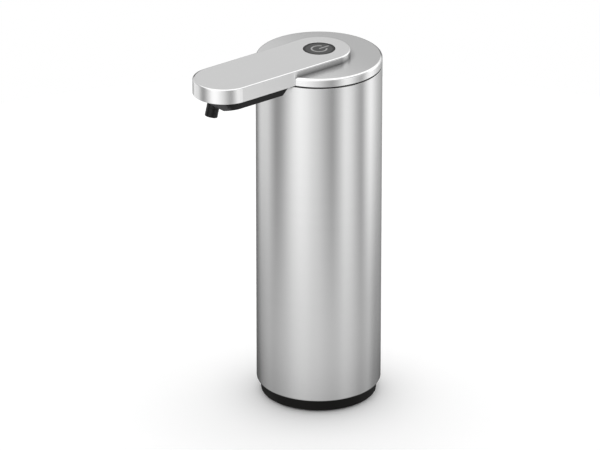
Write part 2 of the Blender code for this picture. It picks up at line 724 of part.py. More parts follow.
def outer_shell():
    """Brushed sleeve with a rolled-in lower edge."""
    profile = quarter_round(BODY_RADIUS, SHELL_RIM_ROUND, SHELL_TOP)
    for i in range(ROUND_POINTS + 1):
        angle = math.pi / 2 * i / ROUND_POINTS
        inward = SHELL_FOOT_ROUND * (1 - math.cos(angle))
        upward = SHELL_FOOT_ROUND * (1 - math.sin(angle))
        profile.append((BODY_RADIUS - inward, BASE_HEIGHT + upward))
    lip = BODY_RADIUS - SHELL_FOOT_ROUND
    profile += [
        (lip, BASE_HEIGHT + SHEET),
        (SHELL_BORE, BASE_HEIGHT + SHEET + SHELL_FOOT_ROUND),
        (SHELL_BORE, SHELL_TOP),
    ]
    keep(turned("outer_shell", profile, steps=WIDE_STEPS), "brushed_steel")


def soap_tank():
    """Plastic liner that holds the soap, with blind screw bosses under its floor."""
    profile = [
        (0, TANK_FLOOR_TOP),
        (TANK_BORE - TANK_FLOOR, TANK_FLOOR_TOP),
        (TANK_BORE, TANK_FLOOR_TOP + TANK_FLOOR),
        (TANK_BORE, TANK_TOP - TANK_MOUTH_FLARE),
        (TANK_BORE + TANK_MOUTH_FLARE, TANK_TOP),
        (TANK_RADIUS, TANK_TOP),
        (TANK_RADIUS, TANK_BOTTOM),
        (0, TANK_BOTTOM),
    ]
    tank = turned("soap_tank", profile, steps=INNER_STEPS)
    for index, degrees in enumerate(BASE_SCREW_ANGLES):
        x, y = on_circle(BASE_SCREW_CIRCLE, degrees)
        boss = rod(
            f"tank_boss_{index}", x, y, TANK_BOSS_RADIUS, BASE_FLOOR_TOP + SEAT_GAP,
            TANK_BOTTOM + FUSE_DEPTH, SMALL_STEPS,
        )
        join(tank, boss)
        low = BASE_FLOOR_TOP - CUT_OVERRUN
        drill(tank, f"bore_{index}", x, y, SCREW_BORE, low, TANK_BOTTOM - SEAT_GAP)
    keep(tank, "tank_plastic")


def base_cup():
    """Black base: the ring that shows below the sleeve and the plug that fits in it."""
    recess = FOOT_THICKNESS + SEAT_GAP
    profile = [
        (0, BASE_FLOOR_TOP),
        (BASE_RADIUS - BASE_WALL, BASE_FLOOR_TOP),
        (BASE_RADIUS - BASE_WALL, BASE_PLUG_TOP),
        (BASE_PLUG_RADIUS, BASE_PLUG_TOP),
        (BASE_PLUG_RADIUS, BASE_HEIGHT + SEAT_GAP),
        (BASE_RADIUS, BASE_HEIGHT + SEAT_GAP),
        (BASE_RADIUS, FOOT_STAND + BASE_CHAMFER),
        (BASE_RADIUS - BASE_CHAMFER, FOOT_STAND),
        (FOOT_RADIUS + SEAT_GAP, FOOT_STAND),
        (FOOT_RADIUS + SEAT_GAP, recess),
        (0, recess),
    ]
    cup = turned("base_cup", profile, steps=WIDE_STEPS)
    sink = BASE_SCREW_SEAT + SEAT_GAP
    for index, degrees in enumerate(BASE_SCREW_ANGLES):
        x, y = on_circle(BASE_SCREW_CIRCLE, degrees)
        drill(cup, f"sink_{index}", x, y, SCREW_SINK, recess - CUT_OVERRUN, sink)
        drill(cup, f"bore_{index}", x, y, SCREW_BORE, recess, BASE_FLOOR_TOP + CUT_OVERRUN)
    keep(cup, "black_plastic")


def foot_pad():
    """Rubber disc that the dispenser stands on."""
    pad = turned(
        "foot_pad",
        [(0, FOOT_THICKNESS), (FOOT_RADIUS, FOOT_THICKNESS), (FOOT_RADIUS, 0), (0, 0)],
        steps=INNER_STEPS,
    )
    keep(pad, "black_rubber")


def base_screws():
    """Screws that hold the base against the tank."""
    for index, degrees in enumerate(BASE_SCREW_ANGLES):
        x, y = on_circle(BASE_SCREW_CIRCLE, degrees)
        tip = TANK_BOTTOM - 2 * SEAT_GAP
        screw_piece(f"base_screw_{index + 1}", x, y, BASE_SCREW_SEAT, tip)


def cap():
    """Round steel lid with a slot under the arm for the hose and the sensor cable."""
    profile = [(0, CAP_TOP)] + quarter_round(BODY_RADIUS, CAP_EDGE_ROUND, CAP_TOP)
    profile += [
        (BODY_RADIUS, ARM_BOTTOM),
        (SHELL_BORE, ARM_BOTTOM),
        (SHELL_BORE, CAP_CEILING),
        (0, CAP_CEILING),
    ]
    lid = turned("cap", profile, steps=WIDE_STEPS)
    outline = stadium(CAP_SLOT_RADIUS)
    cut(lid, plate("cap_slot", [outline], CHANNEL_FLOOR, CAP_TOP + CUT_OVERRUN))
    keep(lid, "brushed_steel")


def arm_cover():
    """Stadium-shaped steel arm, open below, stepped over the cap, with screw studs."""
    cover = plate("arm_cover", [stadium(ARM_HALF_WIDTH)], ARM_BOTTOM, OVERALL_HEIGHT)
    round_edges(cover, ARM_EDGE_ROUND, on_top=True)
    outline = stadium(ARM_HALF_WIDTH - SHEET)
    cut(cover, plate("arm_hollow", [outline], ARM_BOTTOM - CUT_OVERRUN, ARM_CEILING))
    step = CAP_TOP + SEAT_GAP
    drill(
        cover, "cap_step", 0, 0, BODY_RADIUS + SEAT_GAP, ARM_BOTTOM - CUT_OVERRUN, step, WIDE_STEPS
    )
    drill(
        cover, "button_hole", 0, 0, BUTTON_RADIUS + BUTTON_GAP, ARM_CEILING - CUT_OVERRUN,
        OVERALL_HEIGHT + CUT_OVERRUN, 2 * ARM_STEPS,
    )
    for index, (x, y, low) in enumerate(arm_studs()):
        top = ARM_CEILING + FUSE_DEPTH
        join(cover, rod(f"stud_{index}", x, y, BOSS_RADIUS, low, top, SMALL_STEPS))
        drill(cover, f"stud_bore_{index}", x, y, SCREW_BORE, low - CUT_OVERRUN, STUD_BORE_TOP)
    keep(cover, "brushed_steel")


def arm_studs():
    """Place and lower end of each stud inside the arm, tray studs first."""
    tray_low = TRAY_BOSS_TOP + SEAT_GAP
    frame_low = FRAME_TOP + SEAT_GAP
    return [
        (-ARM_SCREW_X, -TRAY_SCREW_Y, tray_low),
        (ARM_SCREW_X, -TRAY_SCREW_Y, tray_low),
        (-ARM_SCREW_X, -ARM_SCREW_Y, frame_low),
        (ARM_SCREW_X, -ARM_SCREW_Y, frame_low),
    ]


def arm_tray():
    """Drafted black tray that closes the arm from below, with a slanted front face."""
    outline = tray_outline(TRAY_TOP_RADIUS)
    tray = plate("arm_tray", [outline], TRAY_BOTTOM, TRAY_SHOULDER)
    taper_tray(tray)
    rim_low = TRAY_SHOULDER - FUSE_DEPTH
    rim_top = ARM_BOTTOM + TRAY_RIM
    join(tray, plate("tray_rim", [tray_outline(TRAY_RIM_RADIUS)], rim_low, rim_top))
    chin = Vector((0, -TRAY_CHIN, TRAY_BOTTOM))
    nose = block(
        "tray_nose",
        (-ARM_HALF_WIDTH, -TRAY_CHIN - ARM_HALF_WIDTH, TRAY_BOTTOM - ARM_HALF_WIDTH),
        (ARM_HALF_WIDTH, -TRAY_CHIN + ARM_HALF_WIDTH, TRAY_BOTTOM),
    )
    cut(tray, tilt(nose, -TRAY_CHIN_SLOPE, chin))
    apron_low = ARM_BOTTOM + SEAT_GAP
    apron = block(
        "tray_apron",
        (-TRAY_RIM_RADIUS + SEAT_GAP, -POCKET_REAR + SEAT_GAP, apron_low),
        (TRAY_RIM_RADIUS - SEAT_GAP, 0, apron_low + APRON_THICKNESS),
    )
    join(tray, apron)
    drill(
        tray, "cap_room", 0, 0, BODY_RADIUS + SEAT_GAP, TRAY_BOTTOM, rim_top + CUT_OVERRUN,
        WIDE_STEPS,
    )
    pocket = box_outline(
        -POCKET_HALF_WIDTH, POCKET_HALF_WIDTH, -POCKET_FRONT, -POCKET_REAR, POCKET_CORNER
    )
    cut(tray, plate("tray_pocket", [pocket], TRAY_FLOOR_TOP, rim_top + CUT_OVERRUN))
    below = TRAY_BOTTOM - CUT_OVERRUN
    boss_low = TRAY_FLOOR_TOP - FUSE_DEPTH
    boss = SCREW_SINK + BOSS_WALL
    sink = TRAY_SCREW_SEAT + SEAT_GAP
    for index, (x, y, _low) in enumerate(arm_studs()[:2]):
        join(tray, rod(f"tray_boss_{index}", x, y, boss, boss_low, TRAY_BOSS_TOP, SMALL_STEPS))
        drill(tray, f"sink_{index}", x, y, SCREW_SINK, below, sink)
        drill(tray, f"bore_{index}", x, y, SCREW_BORE, TRAY_BOTTOM, TRAY_BOSS_TOP + CUT_OVERRUN)
    opening = slot(*window_line(), WINDOW_HALF_WIDTH)
    cut(tray, plate("window_hole", [opening], below, TRAY_FLOOR_TOP + CUT_OVERRUN))
    hole = NOZZLE_RADIUS + SEAT_GAP
    low = ARM_BOTTOM - NOZZLE_LENGTH
    cut(tray, lean(rod("nozzle_hole", 0, -NOZZLE_PLACE, hole, low, OVERALL_HEIGHT)))
    seat = ARM_BOTTOM - NOZZLE_COLLAR_DROP - SEAT_GAP
    room = NOZZLE_COLLAR_RADIUS + SEAT_GAP
    cut(tray, lean(rod("collar_room", 0, -NOZZLE_PLACE, room, seat, OVERALL_HEIGHT)))
    keep(tray, "black_plastic")


def taper_tray(tray):
    """Draw in the bottom face of the tray's lower body."""
    front = ARM_REACH + TRAY_TOP_RADIUS
    narrow = (TRAY_TOP_RADIUS - TRAY_DRAFT) / TRAY_TOP_RADIUS
    taper_bottom(tray, narrow, TRAY_REAR, TRAY_REAR_DRAFT, front, TRAY_NOSE_DRAFT)


def window_line():
    """Centres of the sensor window's two round ends."""
    half = WINDOW_HALF_LENGTH - WINDOW_HALF_WIDTH
    return (-half, -WINDOW_PLACE), (half, -WINDOW_PLACE)


def tray_screws():
    """Screws through the tray into the studs of the arm."""
    for index, (x, y, _low) in enumerate(arm_studs()[:2]):
        screw_piece(f"tray_screw_{index + 1}", x, y, TRAY_SCREW_SEAT, STUD_BORE_TOP - SEAT_GAP)


def arm_screws():
    """Screws from below the head frame into the studs of the arm."""
    for index, (x, y, _low) in enumerate(arm_studs()[2:]):
        screw_piece(f"arm_screw_{index + 1}", x, y, ARM_SCREW_SEAT, STUD_BORE_TOP - SEAT_GAP)


def sensor_window():
    """Dark window that the infrared pair looks through."""
    low = TRAY_BOTTOM + RUN_GAP
    radius = WINDOW_HALF_WIDTH - SEAT_GAP
    window = plate("sensor_window", [slot(*window_line(), radius)], low, WINDOW_TOP - FUSE_DEPTH)
    flange = slot(*window_line(), WINDOW_HALF_WIDTH + WINDOW_FLANGE)
    join(window, plate("window_flange", [flange], WINDOW_FLANGE_BOTTOM, WINDOW_TOP))
    keep(window, "window_plastic")


def infrared_pair():
    """Emitter and receiver that face the hand below the nozzle."""
    for name, x in (("ir_emitter", -EYE_SPREAD), ("ir_receiver", EYE_SPREAD)):
        top = EYE_BOTTOM + EYE_HEIGHT
        profile = [(0, top), (EYE_RADIUS, top)]
        for wide, high in EYE_DOME_SHARES:
            profile.append((EYE_RADIUS * wide, EYE_BOTTOM + EYE_HEIGHT * high))
        profile.append((0, EYE_BOTTOM))
        keep(turned(name, profile, x, -WINDOW_PLACE, SMALL_STEPS), "window_plastic")


def sensor_board():
    """Small board above the infrared pair, held between the tray's walls."""
    half = POCKET_HALF_WIDTH - SEAT_GAP
    board = block(
        "sensor_board",
        (-half, -WINDOW_PLACE - SENSOR_BOARD_LENGTH / 2, SENSOR_BOARD_BOTTOM),
        (half, -WINDOW_PLACE + SENSOR_BOARD_LENGTH / 2, SENSOR_BOARD_TOP),
    )
    keep(board, "board_green")


def nozzle():
    """Leaning spout with a collar above the tray and a spigot for the hose."""
    tip = ARM_BOTTOM - NOZZLE_LENGTH
    collar_low = ARM_BOTTOM - NOZZLE_COLLAR_DROP
    collar_top = collar_low + NOZZLE_COLLAR_HEIGHT
    profile = [
        (0, NOZZLE_HEAD_LENGTH + ARM_BOTTOM),
        (NOZZLE_HEAD_RADIUS, NOZZLE_HEAD_LENGTH + ARM_BOTTOM),
        (NOZZLE_HEAD_RADIUS, collar_top),
        (NOZZLE_COLLAR_RADIUS, collar_top),
        (NOZZLE_COLLAR_RADIUS, collar_low),
        (NOZZLE_RADIUS, collar_low),
        (NOZZLE_RADIUS, tip + NOZZLE_TIP_ROUND),
        (NOZZLE_RADIUS - NOZZLE_TIP_ROUND, tip),
        (0, tip),
    ]
    spout = lean(turned("nozzle", profile, 0, -NOZZLE_PLACE))
    front = HOSE_END_Y - SEAT_GAP - NOZZLE_HEAD_RADIUS
    rear = HOSE_END_Y + SPIGOT_LENGTH
    join(spout, lying_rod("nozzle_spigot", HOSE_LEVEL, SPIGOT_RADIUS, front, rear))
    low = tip - CUT_OVERRUN
    cut(spout, lean(rod("nozzle_bore", 0, -NOZZLE_PLACE, NOZZLE_BORE, low, HOSE_LEVEL)))
    room = VALVE_RADIUS + SEAT_GAP
    cut(spout, lean(rod("valve_room", 0, -NOZZLE_PLACE, room, low, tip + VALVE_LENGTH)))
    cut(spout, lying_rod("spigot_bore", HOSE_LEVEL, SPIGOT_BORE, front, rear + CUT_OVERRUN))
    keep(spout, "black_plastic")


def nozzle_valve():
    """Silicone slit valve in the tip of the nozzle, which stops drips."""
    tip = ARM_BOTTOM - NOZZLE_LENGTH + SEAT_GAP
    top = tip + VALVE_LENGTH - 2 * SEAT_GAP
    profile = [
        (0, top),
        (VALVE_RADIUS, top),
        (VALVE_RADIUS, tip + VALVE_RADIUS / 2),
        (VALVE_RADIUS / 2, tip),
        (0, tip),
    ]
    valve = lean(turned("nozzle_valve", profile, 0, -NOZZLE_PLACE, SMALL_STEPS))
    half = VALVE_SLIT / 2
    slit = block(
        "valve_slit",
        (-half, -NOZZLE_PLACE - VALVE_RADIUS / 2, tip - CUT_OVERRUN),
        (half, -NOZZLE_PLACE + VALVE_RADIUS / 2, tip + VALVE_RADIUS / 2),
    )
    cut(valve, lean(slit))
    keep(valve, "clear_silicone")


def hose_route(overrun=0.0):
    """Route of the outlet hose, from the pump's spigot up and forward to the nozzle."""
    sway_low = GEAR_PLATE_TOP + HOSE_RADIUS
    sway_high = INNER_PLATE_BOTTOM - HOSE_RADIUS
    points = [(PORT_X, OUTLET_Y, PUMP_TOP + SEAT_GAP - overrun)]
    for i in range(HOSE_SWAY_POINTS + 1):
        share = i / HOSE_SWAY_POINTS
        sway = PORT_X * (1 + math.cos(math.pi * share)) / 2
        points.append((sway, OUTLET_Y, sway_low + (sway_high - sway_low) * share))
    centre_y = OUTLET_Y - HOSE_BEND
    centre_z = HOSE_LEVEL - HOSE_BEND
    for i in range(HOSE_BEND_POINTS + 1):
        angle = math.pi / 2 * i / HOSE_BEND_POINTS
        y = centre_y + HOSE_BEND * math.cos(angle)
        points.append((0, y, centre_z + HOSE_BEND * math.sin(angle)))
    points.append((0, HOSE_END_Y - overrun, HOSE_LEVEL))
    return points


def outlet_hose():
    """Silicone hose with its bore."""
    hose = tube("outlet_hose", hose_route(), HOSE_RADIUS)
    cut(hose, tube("hose_bore", hose_route(CUT_OVERRUN), HOSE_BORE))
    keep(hose, "clear_silicone")


def sensor_cable():
    """Round cable from the sensor board back to the main board."""
    level = FRAME_TOP + SEAT_GAP + CABLE_RADIUS
    front_y = -WINDOW_PLACE
    rear_y = -CABLE_REAR_Y
    points = [(CABLE_X, rear_y, BOARD_TOP + SEAT_GAP)]
    steps = [math.pi / 2 * i / CABLE_BEND_POINTS for i in range(CABLE_BEND_POINTS + 1)]
    for angle in steps:
        y = rear_y - CABLE_BEND * (1 - math.cos(angle))
        points.append((CABLE_X, y, level - CABLE_BEND * (1 - math.sin(angle))))
    for angle in reversed(steps):
        y = front_y + CABLE_BEND * (1 - math.cos(angle))
        points.append((CABLE_X, y, level - CABLE_BEND * (1 - math.sin(angle))))
    points.append((CABLE_X, front_y, SENSOR_BOARD_TOP + SEAT_GAP))
    keep(tube("sensor_cable", points, CABLE_RADIUS, 2), "black_plastic")


def head_frame():
    """Disc inside the cap that everything in the head is fastened to."""
    hose_slot = slot((0, OUTLET_Y), (0, OUTLET_Y - HOSE_BEND), HOSE_RADIUS + SEAT_GAP)
    outlines = [
        circle(0, 0, FRAME_RADIUS, INNER_STEPS),
        circle(0, 0, BUTTON_STEM_RADIUS + SEAT_GAP, SMALL_STEPS),
        circle(CABLE_X, -CABLE_REAR_Y, CABLE_RADIUS + SEAT_GAP, SMALL_STEPS),
        hose_slot,
    ]
    frame = plate("head_frame", outlines, FRAME_BOTTOM, FRAME_TOP)
    half = HOSE_RADIUS + SEAT_GAP
    channel = block(
        "hose_channel",
        (-half, -FRAME_RADIUS - CUT_OVERRUN, CHANNEL_FLOOR),
        (half, OUTLET_Y - HOSE_BEND, FRAME_TOP + CUT_OVERRUN),
    )
    cut(frame, channel)
    low = FRAME_BOTTOM - CUT_OVERRUN
    high = FRAME_TOP + CUT_OVERRUN
    for index, (x, y) in enumerate(case_screw_places()):
        drill(frame, f"case_bore_{index}", x, y, SCREW_BORE, low, high)
        drill(frame, f"case_sink_{index}", x, y, SCREW_SINK, CASE_SCREW_SEAT - SEAT_GAP, high)
    for index, (x, y, _low) in enumerate(arm_studs()[2:]):
        drill(frame, f"arm_bore_{index}", x, y, SCREW_BORE, low, high)
        drill(frame, f"arm_sink_{index}", x, y, SCREW_SINK, low, ARM_SCREW_SEAT + SEAT_GAP)
    keep(frame, "black_plastic")


def case_screw_places():
    """Places of the screws between the head frame and the pump case."""
    return [on_circle(CASE_SCREW_CIRCLE, degrees) for degrees in CASE_SCREW_ANGLES]


def case_screws():
    """Screws down through the head frame into the bosses of the pump case."""
    for index, (x, y) in enumerate(case_screw_places()):
        tip = INNER_PLATE_TOP + 2 * SEAT_GAP
        screw_piece(f"case_screw_{index + 1}", x, y, CASE_SCREW_SEAT, tip)


def rim_seal():
    """Flat ring between the head frame and the rim of the tank."""
    outer = TANK_RADIUS - SEAT_GAP
    inner = outer - SEAL_WIDTH
    low = TANK_TOP + SEAT_GAP
    high = FRAME_BOTTOM - SEAT_GAP
    profile = [(outer, high), (outer, low), (inner, low), (inner, high)]
    keep(turned("rim_seal", profile, steps=INNER_STEPS), "black_rubber")


def pump_case():
    """Cup that hangs in the tank, with a battery bay behind a wall and ribs inside."""
    profile = [
        (0, CASE_FLOOR_TOP),
        (CASE_BORE, CASE_FLOOR_TOP),
        (CASE_BORE, CASE_TOP),
        (CASE_RADIUS, CASE_TOP),
        (CASE_RADIUS, CASE_BOTTOM),
        (0, CASE_BOTTOM),
    ]
    case = turned("pump_case", profile, steps=INNER_STEPS)
    opening = rear_segment(BAY_RADIUS, (BAY_WALL_FRONT + BAY_WALL_REAR) / 2)
    low = CASE_BOTTOM - CUT_OVERRUN
    high = CASE_FLOOR_TOP + CUT_OVERRUN
    cut(case, plate("bay_opening", [opening], low, high))
    reach = (CASE_BORE + CASE_RADIUS) / 2
    wall = block(
        "bay_wall",
        (-reach, BAY_WALL_FRONT, CASE_FLOOR_TOP - FUSE_DEPTH),
        (reach, BAY_WALL_REAR, INNER_PLATE_BOTTOM - SEAT_GAP),
    )
    join(case, wall)
    post_low = CASE_FLOOR_TOP - FUSE_DEPTH
    post_top = GEAR_PLATE_BOTTOM - SEAT_GAP
    for index, degrees in enumerate(POST_ANGLES):
        x, y = on_circle(POST_CIRCLE, degrees)
        join(case, rod(f"case_rib_{index}", x, y, POST_RADIUS, post_low, post_top, SMALL_STEPS))
    boss_low = INNER_PLATE_TOP + SEAT_GAP
    boss_top = CASE_TOP - RUN_GAP
    bore_low = boss_low - CUT_OVERRUN
    for index, (x, y) in enumerate(case_screw_places()):
        join(case, rod(f"case_boss_{index}", x, y, BOSS_RADIUS, boss_low, boss_top, SMALL_STEPS))
        drill(case, f"bore_{index}", x, y, SCREW_BORE, bore_low, CASE_TOP + CUT_OVERRUN)
    drill(case, "inlet_hole", PORT_X, INLET_Y, TUBE_BORE + SEAT_GAP, low, high)
    keep(case, "grey_plastic")


def battery_door():
    """Half-round plug with a flange and a finger grip, which closes the bay from below."""
    flange = rear_segment(CASE_RADIUS, BAY_WALL_REAR - DOOR_LIP)
    door = plate("battery_door", [flange], DOOR_BOTTOM, DOOR_FLANGE_TOP)
    plug = rear_segment(BAY_RADIUS - SEAT_GAP, BAY_WALL_REAR + SEAT_GAP)
    join(door, plate("door_plug", [plug], DOOR_FLANGE_TOP - FUSE_DEPTH, DOOR_TOP))
    grip_y = CASE_BORE / 2
    grip = block(
        "door_grip",
        (-DOOR_GRIP_LENGTH / 2, grip_y - DOOR_GRIP_THICKNESS / 2, DOOR_BOTTOM - DOOR_GRIP_HEIGHT),
        (DOOR_GRIP_LENGTH / 2, grip_y + DOOR_GRIP_THICKNESS / 2, DOOR_BOTTOM + FUSE_DEPTH),
    )
    join(door, grip)
    keep(door, "grey_plastic")


def door_seal():
    """Flat seal between the door's flange and the bottom of the case."""
    outer = rear_segment(CASE_RADIUS - SEAT_GAP, BAY_WALL_REAR - DOOR_LIP + SEAT_GAP)
    inner = rear_segment(BAY_RADIUS, BAY_WALL_REAR)
    seal = plate("door_seal", [outer, inner], DOOR_SEAL_BOTTOM, DOOR_SEAL_BOTTOM + DOOR_SEAL)
    keep(seal, "black_rubber")


def cell_places(radius=CELL_CIRCLE):
    """Places in line with the battery cells on a circle behind the bay wall."""
    first = math.pi / 2 + CELL_STEP * (CELL_COUNT - 1) / 2
    angles = [math.degrees(first - CELL_STEP * i) for i in range(CELL_COUNT)]
    return [on_circle(radius, degrees) for degrees in angles]


def tail_places():
    """Places of the tails that join the cells and the motor to the main board."""
    tails = cell_places(TAIL_CIRCLE)
    motor_tails = [(MOTOR_X, TRAIN_Y + side * MOTOR_TAIL_SPREAD) for side in (-1, 1)]
    return [tails[0], tails[-1]] + motor_tails


def batteries():
    """Battery cells, standing nub up and nub down in turn."""
    shoulder = CELL_LENGTH - CELL_NUB_HEIGHT
    profile = [
        (0, CELL_LENGTH),
        (CELL_NUB_RADIUS, CELL_LENGTH),
        (CELL_NUB_RADIUS, shoulder),
        (CELL_RADIUS - CELL_CRIMP, shoulder),
        (CELL_RADIUS, shoulder - CELL_CRIMP),
        (CELL_RADIUS, CELL_CRIMP),
        (CELL_RADIUS - CELL_CRIMP, 0),
        (0, 0),
    ]
    for index, (x, y) in enumerate(cell_places()):
        if index % 2 == 0:
            placed = [(radius, CELL_BOTTOM + height) for radius, height in profile]
        else:
            placed = [(radius, CELL_TOP - height) for radius, height in reversed(profile)]
        keep(turned(f"battery_{index + 1}", placed, x, y), "cell_jacket")


def battery_contacts():
    """Contact strips above and below the cells; the two end strips have a tail."""
    places = cell_places()
    tails = tail_places()
    top_low = INNER_PLATE_BOTTOM - SEAT_GAP - CONTACT_THICKNESS
    door_low = DOOR_TOP + SEAT_GAP
    strips = (
        ("contact_plus", places[0], tails[0], top_low),
        ("contact_bridge", places[1], places[2], top_low),
        ("contact_minus", places[3], tails[1], top_low),
        ("door_contact_left", places[0], places[1], door_low),
        ("door_contact_right", places[2], places[3], door_low),
    )
    for name, start, end, low in strips:
        strip = plate(name, [slot(start, end, CONTACT_RADIUS)], low, low + CONTACT_THICKNESS)
        if end in tails:
            root = low + CONTACT_THICKNESS / 2
            join(strip, rod(f"{name}_tail", *end, TAIL_RADIUS, root, TAIL_TOP, SCREW_STEPS))
        keep(strip, "nickel")


def inner_plate():
    """Disc that closes the machinery room and carries the motor and the main board."""
    outlines = [
        circle(0, 0, CASE_BORE - SEAT_GAP, INNER_STEPS),
        circle(0, OUTLET_Y, HOSE_RADIUS + SEAT_GAP),
    ]
    outlines += [circle(*place, TAIL_HOLE, SCREW_STEPS) for place in tail_places()]
    disc = plate("inner_plate", outlines, INNER_PLATE_BOTTOM, INNER_PLATE_TOP)
    keep(disc, "grey_plastic")


def motor():
    """Small motor, shaft down, with its nose in the gear plate and two tails on top."""
    cap_low = MOTOR_TOP - MOTOR_CAP_HEIGHT
    nose = MOTOR_BOTTOM - MOTOR_NOSE_HEIGHT
    bore = MOTOR_SHAFT_RADIUS + RUN_GAP
    depth = MOTOR_BOTTOM + MOTOR_SHAFT_DEPTH
    profile = [
        (0, MOTOR_TOP),
        (MOTOR_RADIUS - MOTOR_CAP_STEP, MOTOR_TOP),
        (MOTOR_RADIUS - MOTOR_CAP_STEP, cap_low),
        (MOTOR_RADIUS, cap_low),
        (MOTOR_RADIUS, MOTOR_BOTTOM),
        (MOTOR_NOSE_RADIUS, MOTOR_BOTTOM),
        (MOTOR_NOSE_RADIUS, nose),
        (bore, nose),
        (bore, depth),
        (0, depth),
    ]
    can = turned("motor", profile, MOTOR_X, TRAIN_Y)
    root = MOTOR_TOP - FUSE_DEPTH
    for index, place in enumerate(tail_places()[2:]):
        join(can, rod(f"motor_tail_{index}", *place, TAIL_RADIUS, root, TAIL_TOP, SCREW_STEPS))
    keep(can, "plated_steel")


def gear_plate():
    """Plate that locates the motor's nose and the upper end of the pump shaft."""
    outlines = [
        front_segment(CASE_BORE - SEAT_GAP, BAY_WALL_FRONT - SEAT_GAP),
        circle(MOTOR_X, TRAIN_Y, MOTOR_NOSE_RADIUS + SEAT_GAP),
        circle(DRIVE_X, TRAIN_Y, PUMP_SHAFT_RADIUS + RUN_GAP),
        circle(PORT_X, OUTLET_Y, HOSE_RADIUS + SEAT_GAP),
    ]
    keep(plate("gear_plate", outlines, GEAR_PLATE_BOTTOM, GEAR_PLATE_TOP), "grey_plastic")


def motor_pinion():
    """Motor shaft with its pinion."""
    outline = gear_outline(PINION_TEETH, GEAR_MODULE, math.pi / PINION_TEETH)
    pinion = plate("motor_pinion", [outline], GEAR_BOTTOM, GEAR_TOP)
    pinion.location.x = MOTOR_X
    pinion.location.y = TRAIN_Y
    top = MOTOR_BOTTOM + MOTOR_SHAFT_DEPTH - SEAT_GAP
    low = GEAR_BOTTOM - SEAT_GAP
    join(pinion, rod("motor_shaft", MOTOR_X, TRAIN_Y, MOTOR_SHAFT_RADIUS, low, top, SMALL_STEPS))
    keep(pinion, "gear_plastic")


def drive_gear():
    """Large gear on the pump shaft, with a thinned web."""
    bore = circle(0, 0, PUMP_SHAFT_RADIUS + RUN_GAP)
    teeth = gear_outline(DRIVE_TEETH, GEAR_MODULE, points=DRIVE_FLANK_POINTS)
    gear = plate("drive_gear", [teeth, bore], GEAR_BOTTOM, GEAR_TOP)
    gear.location.x = DRIVE_X
    gear.location.y = TRAIN_Y
    web = GEAR_MODULE * (DRIVE_TEETH / 2 - DEDENDUM_SHARE) - GEAR_RIM
    high = GEAR_TOP + CUT_OVERRUN
    low = GEAR_TOP - GEAR_WEB_CUT
    profile = [(web, high), (web, low), (GEAR_HUB_RADIUS, low), (GEAR_HUB_RADIUS, high)]
    cut(gear, turned("gear_web", profile, DRIVE_X, TRAIN_Y))
    keep(gear, "gear_plastic")


def pump_gears():
    """The two meshed gears that move the soap."""
    low = PUMP_CHAMBER_FLOOR + RUN_GAP
    high = PUMP_TOP - RUN_GAP
    turn = math.pi + math.pi / PUMP_TEETH
    bore = circle(0, 0, PUMP_SHAFT_RADIUS + RUN_GAP)
    for name, x, phase in (("pump_gear_driver", DRIVE_X, 0.0), ("pump_gear_idler", IDLER_X, turn)):
        outline = gear_outline(PUMP_TEETH, PUMP_MODULE, phase)
        gear = plate(name, [outline, bore], low, high)
        gear.location.x = x
        gear.location.y = TRAIN_Y
        keep(gear, "gear_plastic")


def pump_shafts():
    """Driven shaft through the cover, and the fixed pin of the idler."""
    low = PUMP_CHAMBER_FLOOR - PUMP_BEARING_DEPTH + RUN_GAP
    for name, x, high in (
        ("drive_shaft", DRIVE_X, GEAR_PLATE_TOP - RUN_GAP),
        ("idler_pin", IDLER_X, PUMP_TOP - RUN_GAP),
    ):
        profile = [(0, high), (PUMP_SHAFT_RADIUS, high), (PUMP_SHAFT_RADIUS, low), (0, low)]
        keep(turned(name, profile, x, TRAIN_Y), "plated_steel")


